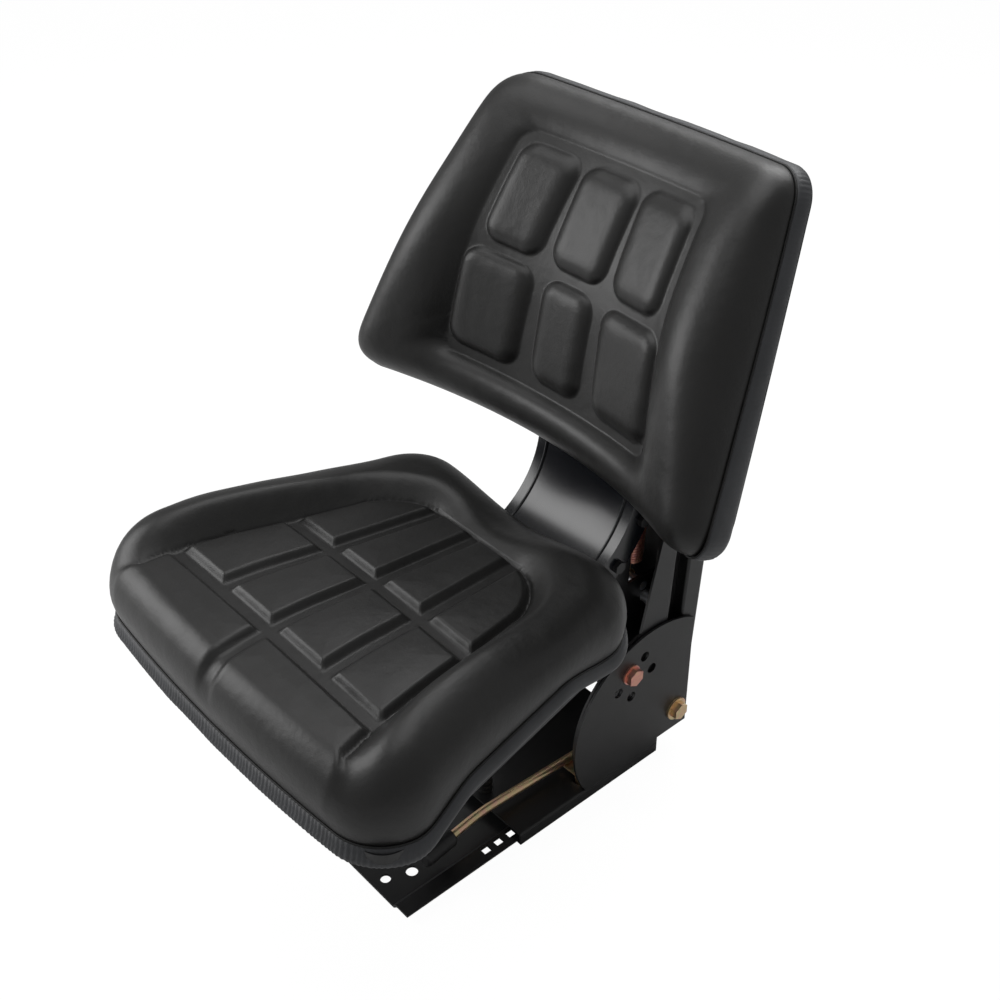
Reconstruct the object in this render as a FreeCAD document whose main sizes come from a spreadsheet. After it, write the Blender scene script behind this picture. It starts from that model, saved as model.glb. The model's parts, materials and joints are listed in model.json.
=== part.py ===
# Tractor suspension seat: slide bed, carriage with tilt plates, sprung column, seat and backrest.
# Frame: X across the seat (+X is the sitter's left), the seat faces -Y, Z up, millimetres.
# Origin: on the mounting face, at the centre of the slide bed and of its bolt patterns.
import FreeCAD, Part
import math
import os
import re
import Sketcher
from FreeCAD import Placement, Rotation, Vector

doc = FreeCAD.newDocument("SuspensionSeat")

# Driving dimensions, in millimetres and degrees
SIZES = {
    "steel": 3.0,                  # sheet of the bed, the carriage and the column
    "gap": 0.3,                    # air between pieces that move past each other
    "run_fit": 0.05,               # radial clearance of a pin in its hole
    # slide bed
    "bed_length": 376.0,
    "bed_half": "=column_half",    # half width over the raised flanges
    "bed_floor_half": "=bed_half - 24",
    "bed_rise": 6.0,               # height of the flange above the mounting face
    "inner_bolt_x": 41.0,
    "inner_bolt_y": 172.0,
    "inner_bolt_r": 6.0,
    "outer_bolt_x": 52.0,
    "outer_bolt_y": 144.0,
    "outer_bolt_r": 7.0,
    "window_first": 77.0,          # rearmost latch window
    "window_pitch": 18.0,
    "window_x": "=bed_half - 16.5",
    "window_wide": 8.5,
    "window_long": 10.0,
    # carriage
    "carriage_front": 30.0,        # distance ahead of the origin
    "carriage_rear": 188.0,
    "carriage_top": 18.0,
    "tilt_gap": 1.0,               # between the tilt plates and the column
    "carriage_wall": "=column_half + tilt_gap + steel",
    "lip_low": 2.0,
    "lip_wide": 9.5,
    "plate_centre_y": 172.0,
    "plate_centre_z": 83.0,
    "plate_arc": 120.5,
    "plate_rear": 236.0,
    "plate_low": 24.0,
    "pad_long": 32.0,
    "pad_inset": 8.0,
    "pad_thick": 5.7,
    # tilt pivot and lock
    "pivot_y": 217.0,
    "pivot_z": 54.0,
    "bolt_r": 6.0,                 # M12
    "head_across": 19.0,
    "head_high": 7.5,
    "nut_high": 10.0,
    "pivot_washer_r": 15.0,
    "washer_thick": 2.5,
    "lock_circle": 132.5,
    "lock_inner_circle": 104.5,
    "lock_angle": 38.0,            # degrees forward of straight up
    "lock_step_angle": 11.0,
    "lock_flange_r": 12.5,
    "lock_flange_thick": 2.0,
    "index_hole_r": 6.5,
    # column, drawn upright and leaned back about the tilt pivot
    "lean_angle": 4.0,
    "column_half": 100.0,
    "column_rear": 239.0,
    "column_low": 40.0,
    "column_top": 395.0,
    "track_start": 118.0,
    "track_wide": 28.0,
    "track_room": 24.0,            # behind the track, for a roller
    "track_rear": "=column_rear - steel - track_room",
    "track_front": "=track_rear - track_wide",
    "track_deep": 14.0,
    "cheek_front": 54.0,
    "cheek_front_low": 60.0,
    "cheek_step_y": 190.0,
    "cheek_centre_y": 172.4,
    "cheek_centre_z": 83.0,
    "cheek_arc": 120.5,
    "taper_low_y": 142.0,
    "taper_top_y": 171.7,
    "column_bend": 6.0,
    "track_bend": 3.5,
    # suspension
    "roller_r": 11.0,
    "roller_wide": 10.0,
    "roller_bore": 5.0,
    "roller_inner_x": "=column_half - steel - roller_wide - 2",
    "roller_top_z": 335.0,
    "roller_low_z": 225.0,
    "side_plate_x": "=column_half - 27",
    "side_plate_thick": 4.0,
    "side_plate_rear": 232.0,
    "side_plate_low": 205.0,
    "side_plate_top": 352.0,
    "tab_wide": 24.0,
    "plate_window_front": 142.0,   # opening beside the spring
    "plate_window_rear": 190.0,
    "plate_window_low": 254.0,
    "plate_window_top": 331.0,
    "clip_thick": 1.0,
    "clip_r": 8.0,
    "cross_bar_y": 200.0,
    "cross_bar_z": 328.0,
    "cross_bar_r": 8.0,
    "anchor_y": 168.0,
    "anchor_z": 240.0,
    "anchor_r": 6.0,
    "travel": 90.0,
    "stop_y": 216.0,
    "stop_x": 61.0,
    "stop_r": 10.0,
    # springs and weight adjuster
    "spring_x": 50.0,
    "spring_r": 14.0,
    "spring_wire": 3.2,
    "spring_low": 264.0,
    "spring_top": 345.0,
    "spring_turns": 20,
    "beam_z": 366.0,
    "beam_reach": 64.0,
    "beam_half": 20.0,
    "beam_thick": 6.0,
    "screw_y": 205.0,
    "screw_r": 7.0,
    "screw_low": 352.0,
    "bridge_front": 174.0,
    "bridge_drop": 20.0,
    "knob_r": 24.0,
    "knob_high": 22.0,
    "knob_lobe_r": 8.0,
    # damper
    "foot_z": 67.0,
    "foot_front": 165.0,
    "damper_y": 200.0,
    "damper_pin_z": 87.0,
    "damper_pin_r": 6.0,
    "damper_eye_r": 13.0,
    "damper_eye_wide": 22.0,
    "damper_r": 18.0,
    "damper_bore": 15.0,
    "damper_low": 98.0,
    "damper_top": 215.0,
    "damper_rod_r": 5.0,
    "piston_z": 200.0,
    # curved bracket
    "bracket_half": "=side_plate_x + steel",
    "bracket_thick": 4.0,
    "bracket_flange": 28.0,
    "bracket_foot_z": 287.0,
    "bracket_front": 60.0,         # foot, ahead of the origin
    "bracket_bend_y": 50.4,
    "bracket_arc": 110.0,
    "bracket_straight": 36.0,
    "bracket_upper": 108.0,
    "bracket_knee": 60.0,
    # seat
    "frame_bolt_circle": 131.0,    # about the bracket's bend
    "frame_high_angle": 25.0,      # degrees below level
    "frame_low_angle": 50.0,
    "plate_front_circle": 122.0,
    "seat_front": 306.0,           # corners, ahead of the origin
    "seat_bow": 1990.0,            # radius of the front edge
    "seat_rear": 72.0,
    "seat_half_front": 243.0,
    "seat_half_rear": 171.0,
    "seat_corner": 28.0,
    "pan_low": 293.0,
    "pan_sheet": 1.5,
    "pan_high": 12.0,
    "pan_inset": 4.0,
    "trim_thick": 5.0,
    "seat_crown": 103.0,           # height of the bolsters above the trim
    "seat_bolster": 31.0,          # from the side to the bolster's crest
    "seat_panel_half": 148.0,      # pads, half width at the middle of the seat
    "pad_front": 298.0,            # ahead of the origin
    "pad_rear": 10.0,
    "groove_deep": 6.0,
    "groove_wide": 12.0,
    "isolator_r": 12.0,
    "seat_bolt_x": 52.0,
    "seat_bolt_front": 40.0,       # ahead of the origin
    "seat_bolt_rear": 36.0,
    "small_bolt_r": 4.0,           # M8
    "small_head_across": 13.0,
    "small_head_high": 5.5,
    # backrest, drawn upright and leaned back about its lower rear edge
    "back_angle": 23.5,
    "back_y": 154.0,
    "back_z": 444.0,
    "back_arc": 543.0,
    "back_low": -38.0,
    "back_top": 312.0,
    "back_half_low": 262.0,
    "back_half_top": 188.0,
    "back_corner": 36.0,
    "back_pan_sheet": 2.0,
    "back_thick": 88.0,            # at the lumbar bulge
    "back_bolster": 30.0,
    "back_bolster_rise": 10.0,
    "back_trim_deep": 20.0,
    "back_panel_low": 25.0,
    "back_panel_top": 268.0,
    "back_panel_half_low": 148.0,
    "back_panel_half_top": 117.0,
    "back_bolt_x": 50.0,
    "back_bolt_low": 45.0,
    "back_bolt_high": 105.0,
    # latch lever
    "lever_r": 5.0,
    "lever_z": 32.0,
    "lever_x": "=window_x - 18.5",
    "lever_bend_x": 58.0,
    "lever_bend_y": 49.0,          # ahead of the origin
    "lever_front_x": 67.0,
    "lever_front_y": 136.0,        # ahead of the origin
    "lever_pivot_y": 122.0,
    "latch_pin_r": 4.0,
    "latch_hub_r": 8.0,
    "latch_hub_wide": 16.0,
    "tooth_long": 8.1,
    "grip_r": 11.0,
    "grip_long": 44.0,
    # front buffers
    "buffer_x": 24.0,
    "buffer_y": 14.0,              # ahead of the origin
    "buffer_r": 9.0,
    "buffer_high": 20.0,
}

dim = doc.addObject("Spreadsheet::Sheet", "dim")
dim.Label = "Sizes"
for row, (alias, size) in enumerate(SIZES.items(), 1):
    dim.set("A%d" % row, alias)
    dim.set("B%d" % row, str(size))
    dim.setAlias("B%d" % row, alias)
doc.recompute()

PLANES = {"XY": "XY_Plane", "XZ": "XZ_Plane", "YZ": "YZ_Plane"}
NODES = {}


def sheet(text):
    """Write a formula in the sheet's aliases as an expression of the document."""
    return re.sub(r"[a-z_]+", lambda m: "dim." + m.group() if m.group() in SIZES else m.group(), text)


def value(text):
    return float(dim.evalExpression(sheet(text)))


def vector(x, y, z):
    return Vector(value(x), value(y), value(z))


def bind(thing, prop, text):
    thing.setExpression(prop, sheet(text))


# Placements: the column's leaning frame and the backrest's
UPRIGHT = Placement()
COLUMN = Placement(Vector(), Rotation(Vector(1, 0, 0), -value("lean_angle")),
                   vector("0", "pivot_y", "pivot_z"))
BACK = Placement(vector("0", "back_y", "back_z"), Rotation(Vector(1, 0, 0), -value("back_angle")))


def node(label, thing, frame=UPRIGHT):
    thing.Label = label
    thing.Placement = frame
    NODES[label] = thing
    return thing


def new_body(name):
    return doc.addObject("PartDesign::Body", name)


def new_sketch(body, plane, start="0"):
    """A sketch on one of the body's origin planes, moved by start along that plane's axis."""
    sketch = body.newObject("Sketcher::SketchObject", body.Name + "Sketch")
    origin = next(f for f in body.Origin.OriginFeatures if f.Role == PLANES[plane])
    sketch.AttachmentSupport = [(origin, "")]
    sketch.MapMode = "FlatFace"
    sign = "-" if plane == "XZ" else ""
    bind(sketch, ".AttachmentOffset.Base.z", "%s(%s)" % (sign, start))
    return sketch


def pin_point(sketch, geo, pos, x, y):
    """Hold a sketch point at two formulas, on the axes where they are zero."""
    for kind, axis, text in (("DistanceX", -2, x), ("DistanceY", -1, y)):
        if abs(value(text)) < 1e-7:
            sketch.addConstraint(Sketcher.Constraint("PointOnObject", geo, pos, axis))
        else:
            index = sketch.addConstraint(Sketcher.Constraint(kind, geo, pos, value(text)))
            bind(sketch, "Constraints[%d]" % index, text)


def outline(sketch, points, arcs=None):
    """A closed outline through points; arcs gives an edge's radius, negative where it turns clockwise."""
    arcs = arcs or {}
    spots = [Vector(value(x), value(y), 0) for x, y in points]
    ends = []
    for i, start in enumerate(spots):
        stop = spots[(i + 1) % len(spots)]
        if i in arcs:
            radius = value(arcs[i])
            chord = stop - start
            middle = (start + stop) * 0.5
            left = Vector(-chord.y, chord.x, 0).normalize()
            rise = math.sqrt(radius ** 2 - (chord.Length / 2) ** 2)
            centre = middle + left * math.copysign(rise, radius)
            crown = centre + (middle - centre).normalize() * abs(radius)
            geo = sketch.addGeometry(Part.Arc(start, crown, stop), False)
            index = sketch.addConstraint(Sketcher.Constraint("Radius", geo, abs(radius)))
            bind(sketch, "Constraints[%d]" % index, "abs(%s)" % arcs[i])
        else:
            geo = sketch.addGeometry(Part.LineSegment(start, stop), False)
        first = (sketch.getPoint(geo, 1) - start).Length < (sketch.getPoint(geo, 2) - start).Length
        ends.append((geo, 1 if first else 2, 2 if first else 1))
    for i, (geo, start_pos, stop_pos) in enumerate(ends):
        before = ends[i - 1]
        sketch.addConstraint(Sketcher.Constraint("Coincident", before[0], before[2], geo, start_pos))
        pin_point(sketch, geo, start_pos, *points[i])
    return sketch


def with_bends(points, radii):
    """Replace square corners, given by index, with arcs of the radii; their edges run along the axes."""
    spots = [(value(x), value(y)) for x, y in points]
    out, arcs = [], {}
    for i, (x, y) in enumerate(points):
        if i not in radii:
            out.append((x, y))
            continue
        before, after = spots[i - 1], spots[(i + 1) % len(spots)]
        come = [unit(spots[i][k] - before[k]) for k in range(2)]
        leave = [unit(after[k] - spots[i][k]) for k in range(2)]
        arcs[len(out)] = ("" if come[0] * leave[1] - come[1] * leave[0] > 0 else "-") + "(%s)" % radii[i]
        out.append(("%s - %d * (%s)" % (x, come[0], radii[i]), "%s - %d * (%s)" % (y, come[1], radii[i])))
        out.append(("%s + %d * (%s)" % (x, leave[0], radii[i]), "%s + %d * (%s)" % (y, leave[1], radii[i])))
    return out, arcs


def unit(size):
    return 0 if abs(size) < 1e-6 else int(math.copysign(1, size))


def circles(sketch, holes):
    for x, y, radius in holes:
        spot = Vector(value(x), value(y), 0)
        geo = sketch.addGeometry(Part.Circle(spot, Vector(0, 0, 1), value(radius)), False)
        pin_point(sketch, geo, 3, x, y)
        index = sketch.addConstraint(Sketcher.Constraint("Radius", geo, value(radius)))
        bind(sketch, "Constraints[%d]" % index, radius)
    return sketch


def pad(body, sketch, length):
    """Pad along the plane's positive axis."""
    feature = body.newObject("PartDesign::Pad", body.Name + "Pad")
    feature.Profile = sketch
    feature.Reversed = "XZ_Plane" in [s[0].Role for s in sketch.AttachmentSupport]
    bind(feature, "Length", length)
    doc.recompute()
    return feature


def pocket(body, sketch, length):
    """Pocket along the plane's positive axis."""
    feature = body.newObject("PartDesign::Pocket", body.Name + "Pocket")
    feature.Profile = sketch
    feature.Reversed = "XZ_Plane" not in [s[0].Role for s in sketch.AttachmentSupport]
    bind(feature, "Length", length)
    before = feature.BaseFeature.Shape.Volume
    doc.recompute()
    if not feature.Shape.Volume < before - 1e-3:
        raise RuntimeError(body.Name + ": a pocket cuts nothing")
    return feature


def round_edges(body, radius, wanted):
    """Fillet the edges that a test on the edge picks."""
    base = body.Tip
    names = ["Edge%d" % i for i, edge in enumerate(base.Shape.Edges, 1) if wanted(edge)]
    if not names:
        raise RuntimeError(body.Name + ": no edge to round")
    feature = body.newObject("PartDesign::Fillet", body.Name + "Fillet")
    feature.Base = (base, names)
    bind(feature, "Radius", radius)
    doc.recompute()
    return feature


def upright(edge):
    """True for a straight edge along Z."""
    if edge.Curve.TypeId != "Part::GeomLine":
        return False
    run = edge.Vertexes[-1].Point - edge.Vertexes[0].Point
    return math.hypot(run.x, run.y) < 1e-6 < abs(run.z)


AXES = {"X": Rotation(Vector(0, 1, 0), 90), "-X": Rotation(Vector(0, 1, 0), -90),
        "Y": Rotation(Vector(1, 0, 0), -90), "-Y": Rotation(Vector(1, 0, 0), 90),
        "Z": Rotation(), "-Z": Rotation(Vector(1, 0, 0), 180)}


def place(thing, spot, axis="Z"):
    thing.Placement = Placement(Vector(), AXES[axis])
    for letter, text in zip("xyz", spot):
        bind(thing, "Placement.Base." + letter, text)
    return thing


def rod(name, radius, length, spot, axis="Z"):
    thing = doc.addObject("Part::Cylinder", name)
    bind(thing, "Radius", radius)
    bind(thing, "Height", length)
    return place(thing, spot, axis)


def hexagon(name, across, length, spot, axis="Z"):
    thing = doc.addObject("Part::Prism", name)
    thing.Polygon = 6
    bind(thing, "Circumradius", "(%s) / sqrt(3)" % across)
    bind(thing, "Height", length)
    return place(thing, spot, axis)


def block(name, size, spot):
    thing = doc.addObject("Part::Box", name)
    for prop, text in zip(("Length", "Width", "Height"), size):
        bind(thing, prop, text)
    return place(thing, spot)


def joined(name, things):
    thing = doc.addObject("Part::MultiFuse", name)
    thing.Shapes = things
    return thing


def cut(name, base, tool):
    thing = doc.addObject("Part::Cut", name)
    thing.Base = base
    thing.Tool = tool
    return thing


def common(name, things):
    thing = doc.addObject("Part::MultiCommon", name)
    thing.Shapes = things
    return thing


def group(name, things):
    thing = doc.addObject("Part::Compound", name)
    thing.Links = things
    return thing


def tube(name, outer, inner, length, spot, axis="Z"):
    return cut(name, rod(name + "Outer", outer, length, spot, axis),
               rod(name + "Bore", inner, length, spot, axis))


SIDES = {"": "X", "-": "-X"}      # sign of X and the direction that points away from the middle


# Slide bed
def make_slide_bed():
    body = new_body("SlideBed")
    half = [("bed_half", "bed_rise"), ("bed_floor_half + bed_rise", "bed_rise"), ("bed_floor_half", "0")]
    upper = [("bed_floor_half - steel / 2", "steel"),
             ("bed_floor_half + bed_rise - steel / 2", "bed_rise + steel"),
             ("bed_half", "bed_rise + steel")]
    mirrored = [("-(%s)" % x, z) for x, z in reversed(half)]
    mirrored_upper = [("-(%s)" % x, z) for x, z in reversed(upper)]
    sketch = outline(new_sketch(body, "XZ", "-bed_length / 2"), half + mirrored + mirrored_upper + upper)
    pad(body, sketch, "bed_length")
    holes = new_sketch(body, "XY")
    bolts = [(sx + "inner_bolt_x", sy + "inner_bolt_y", "inner_bolt_r") for sx in SIDES for sy in SIDES]
    bolts += [(sx + "outer_bolt_x", sy + "outer_bolt_y", "outer_bolt_r") for sx in SIDES for sy in SIDES]
    circles(holes, bolts)
    pocket(body, holes, "bed_rise")
    window = new_sketch(body, "XY")
    near, far = "window_first - window_long / 2", "window_first + window_long / 2"
    outline(window, [("window_x", near), ("window_x + window_wide", near), ("window_x + window_wide", far),
                     ("window_x", far)])
    slot = pocket(body, window, "bed_rise + 2 * steel")
    row_of = body.newObject("PartDesign::LinearPattern", "SlideBedWindows")
    row_of.Originals = [slot]
    row_of.Direction = (window, ["V_Axis"])
    row_of.Reversed = True
    row_of.Occurrences = 9
    bind(row_of, "Length", "window_pitch * 8")
    body.Tip = row_of
    node("slide_bed", body)


# Carriage: channel over the bed's flanges with the two tilt plates folded up from its walls
def make_carriage():
    body = new_body("Carriage")
    top = "carriage_top - steel"
    right = [("carriage_wall", "carriage_top"), ("carriage_wall", "lip_low"),
             ("carriage_wall - lip_wide", "lip_low"), ("carriage_wall - lip_wide", "lip_low + steel"),
             ("carriage_wall - steel", "lip_low + steel"), ("carriage_wall - steel", top)]
    left = [("-(%s)" % x, z) for x, z in reversed(right)]
    whole = right + left
    bend = {0: "steel + run_fit", len(whole) - 1: "steel + run_fit"}
    sketch = outline(new_sketch(body, "XZ", "-carriage_front"), *with_bends(whole, bend))
    pad(body, sketch, "carriage_front + carriage_rear")
    foot_z = "(carriage_top - steel / 2)"
    foot_y = "plate_centre_y - sqrt(plate_arc ^ 2 - (plate_centre_z - %s) ^ 2)" % foot_z
    rear_z = "plate_centre_z + sqrt(plate_arc ^ 2 - (plate_rear - plate_centre_y) ^ 2)"
    points = [(foot_y, foot_z), ("plate_rear", rear_z), ("plate_rear", "plate_low"),
              ("carriage_rear", "plate_low"), ("carriage_rear", foot_z)]
    holes = [("pivot_y", "pivot_z", "bolt_r + run_fit")]
    for turn in ("-lock_step_angle", "0", "lock_step_angle"):
        holes.append(polar("lock_circle", "lock_angle + " + turn) + ("index_hole_r",))
        if turn != "0":
            holes.append(polar("lock_inner_circle", "lock_angle + " + turn) + ("index_hole_r",))
    for start in ("carriage_wall - steel", "-carriage_wall"):
        plate = circles(outline(new_sketch(body, "YZ", start), points, {0: "-plate_arc"}), holes)
        pad(body, plate, "steel")
    slot = new_sketch(body, "XY", "carriage_top - 2 * steel")
    low, high = "window_x - 2 * gap", "window_x + window_wide + 2 * gap"
    rear, front = "window_first + window_long / 2 + steel", "window_first - window_long / 2 - steel"
    outline(slot, [(low, front), (high, front), (high, rear), (low, rear)])
    pocket(body, slot, "3 * steel")
    node("slide_carriage", body)


def polar(circle, angle):
    """A place on the tilt circle, at an angle forward of straight up."""
    return ("pivot_y - %s * sin((%s) * 1deg)" % (circle, angle),
            "pivot_z + %s * cos((%s) * 1deg)" % (circle, angle))


def make_glide_pads():
    pads = []
    wide = "carriage_wall - steel - window_x - window_wide"
    low = "carriage_top - steel - pad_thick"
    for i, (side, y) in enumerate((s, y) for s in SIDES for y in
                                  ("-carriage_front + pad_inset", "carriage_rear - pad_inset - pad_long")):
        x = "window_x + window_wide" if side == "" else "-(carriage_wall - steel)"
        pads.append(block("GlidePad%d" % i, (wide, "pad_long", "pad_thick"), (x, y, low)))
    node("glide_pads", group("GlidePads", pads))


# Tilt pivot bolts and lock bolts
def make_tilt_fasteners():
    column_inner = "column_half - steel - gap"
    parts = {"pivot_bolts": [], "pivot_washers": [], "pivot_nuts": [], "lock_bolts": [], "lock_nuts": []}
    lock_y, lock_z = polar("lock_circle", "lock_angle")
    for sign, out in SIDES.items():
        side = "L" if sign else "R"
        end = sign + "(%s - nut_high - 2 * gap)" % column_inner
        reach = "carriage_wall + %s - (%s - nut_high - 2 * gap)"
        shank = rod("PivotShank" + side, "bolt_r", reach % ("washer_thick", column_inner),
                    (end, "pivot_y", "pivot_z"), out)
        head = hexagon("PivotHead" + side, "head_across", "head_high",
                       (sign + "(carriage_wall + washer_thick)", "pivot_y", "pivot_z"), out)
        parts["pivot_bolts"].append(joined("PivotBolt" + side, [shank, head]))
        parts["pivot_washers"].append(tube("PivotWasher" + side, "pivot_washer_r", "bolt_r + run_fit",
                                           "washer_thick",
                                           (sign + "carriage_wall", "pivot_y", "pivot_z"), out))
        lock = rod("LockShank" + side, "bolt_r", reach % ("0", column_inner), (end, lock_y, lock_z), out)
        flange = rod("LockFlange" + side, "lock_flange_r", "lock_flange_thick",
                     (sign + "carriage_wall", lock_y, lock_z), out)
        lock_head = hexagon("LockHead" + side, "head_across", "head_high + lock_flange_thick",
                            (sign + "carriage_wall", lock_y, lock_z), out)
        parts["lock_bolts"].append(joined("LockBolt" + side, [lock, flange, lock_head]))
        for kind, y, z in (("pivot_nuts", "pivot_y", "pivot_z"), ("lock_nuts", lock_y, lock_z)):
            name = kind.title().replace("_", "") + side
            spot = (sign + "(%s - nut_high)" % column_inner, y, z)
            nut = cut(name, hexagon(name + "Hex", "head_across", "nut_high", spot, out),
                      rod(name + "Bore", "bolt_r + run_fit", "nut_high", spot, out))
            parts[kind].append(nut)
    for label, things in parts.items():
        node(label, group(label.title().replace("_", ""), things))


def make_front_buffers():
    buffers = []
    for i, sign in enumerate(SIDES):
        x = sign + "buffer_x"
        rings = [rod("Buffer%dCore" % i, "buffer_r - 1.5 * steel / 2", "buffer_high",
                     (x, "-buffer_y", "carriage_top"))]
        for k in range(3):
            z = "carriage_top + buffer_high * %d / 3" % k
            rings.append(rod("Buffer%dRing%d" % (i, k), "buffer_r", "buffer_high / 4", (x, "-buffer_y", z)))
        buffers.append(joined("Buffer%d" % i, rings))
    node("front_buffers", group("FrontBuffers", buffers))


# Latch lever, its tooth plate, grip, pin, bracket and return spring
def make_latch():
    pivot = ("lever_x", "lever_pivot_y", "lever_z")
    route = [vector("lever_front_x", "-lever_front_y", "lever_z"),
             vector("lever_bend_x", "-lever_bend_y", "lever_z"),
             vector("lever_x", "lever_pivot_y - latch_hub_r + gap", "lever_z")]
    bend = route[1]
    reach = 0.12 * (route[2] - bend).Length
    arc_start = bend + (route[0] - bend).normalize() * reach
    arc_stop = bend + (route[2] - bend).normalize() * reach
    corner = bend * 0.5 + (arc_start + arc_stop) * 0.25
    path = Part.Wire([Part.LineSegment(route[0], arc_start).toShape(),
                      Part.Arc(arc_start, corner, arc_stop).toShape(),
                      Part.LineSegment(arc_stop, route[2]).toShape()])
    ring = Part.Wire([Part.Circle(route[0], arc_start - route[0], value("lever_r")).toShape()])
    sweep = path.makePipeShell([ring], True, False)
    bore = Part.makeCylinder(value("latch_hub_r") + value("gap"), value("latch_hub_wide"),
                             vector("lever_x - latch_hub_wide / 2", "lever_pivot_y", "lever_z"), Vector(1,
                                                                                                        0,
                                                                                                        0))
    lever = doc.addObject("Part::Feature", "LatchLever")
    lever.Shape = sweep.cut(bore)
    node("latch_lever", lever)

    hub = rod("LatchHub", "latch_hub_r", "latch_hub_wide", ("lever_x - latch_hub_wide / 2",) + pivot[1:],
              "X")
    front = "window_first - window_long / 2 + gap"
    low = "lever_z - lever_r - steel"
    tip = "bed_rise + steel + gap"
    shelf = block("LatchShelf", ("lever_r + latch_hub_wide / 2", "lever_pivot_y - (%s)" % front, "steel"),
                  ("lever_x - lever_r", front, low))
    arm = block("LatchArm", ("window_x + window_wide - gap - lever_x", "3 * tooth_long", "steel"),
                ("lever_x", front, low))
    tooth = block("LatchTooth", ("window_wide - 2 * gap", "tooth_long", "%s - (%s) + steel" % (low, tip)),
                  ("window_x + gap", front, tip))
    web = block("LatchWeb", ("latch_hub_wide", "latch_hub_r", "lever_r + steel"),
                ("lever_x - latch_hub_wide / 2", "lever_pivot_y - latch_hub_r / 2", low))
    bored = rod("LatchBore", "latch_pin_r + run_fit", "2 * latch_hub_wide",
                ("lever_x - latch_hub_wide",) + pivot[1:], "X")
    plate = cut("LatchPlate", joined("LatchPlateBlank", [hub, shelf, arm, tooth, web]), bored)
    node("latch_plate", plate)

    grip_axis = (route[0] - route[1]).normalize()
    start = route[0] - grip_axis * (value("grip_long") - value("gap") * 10)
    grip = Part.makeCylinder(value("grip_r"), value("grip_long"), start, grip_axis)
    grip = grip.makeFillet(value("grip_r") / 3,
                           [e for e in grip.Edges if e.Curve.TypeId == "Part::GeomCircle"])
    handle = doc.addObject("Part::Feature", "LeverGrip")
    handle.Shape = grip.cut(lever.Shape)
    node("lever_grip", handle)

    half = "(latch_hub_wide / 2 + gap)"
    ears = []
    for i, x in enumerate(("lever_x + %s" % half, "lever_x - %s - steel" % half)):
        ears.append(block("LatchEar%d" % i, ("steel", "3 * latch_pin_r",
                                             "lever_z - carriage_top + 1.5 * latch_pin_r"),
                          (x, "lever_pivot_y - 1.5 * latch_pin_r", "carriage_top")))
    base = block("LatchBase", ("latch_hub_wide + 2 * (gap + steel)", "3 * latch_pin_r + 2 * steel",
                               "steel / 2"),
                 ("lever_x - %s - steel" % half, "lever_pivot_y - 1.5 * latch_pin_r", "carriage_top"))
    pin_hole = rod("LatchEarHole", "latch_pin_r + run_fit", "3 * latch_hub_wide",
                   ("lever_x - 1.5 * latch_hub_wide",) + pivot[1:], "X")
    bracket = cut("LatchBracket", joined("LatchBracketBlank", ears + [base]), pin_hole)
    node("latch_bracket", bracket)

    spring_wide = "2 * steel"
    pin_start = "lever_x - %s - steel - %s - gap" % (half, spring_wide)
    shank = rod("LatchPinShank", "latch_pin_r",
                "latch_hub_wide + 2 * (gap + steel) + %s + gap + steel" % spring_wide,
                (pin_start,) + pivot[1:], "X")
    cap = rod("LatchPinHead", "1.5 * latch_pin_r", "steel / 2",
              ("lever_x + %s + steel" % half,) + pivot[1:], "X")
    node("latch_pin", joined("LatchPin", [shank, cap]))
    coil = tube("LatchSpring", "latch_pin_r + steel", "latch_pin_r + run_fit", spring_wide,
                (pin_start,) + pivot[1:], "X")
    node("latch_spring", coil)


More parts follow.
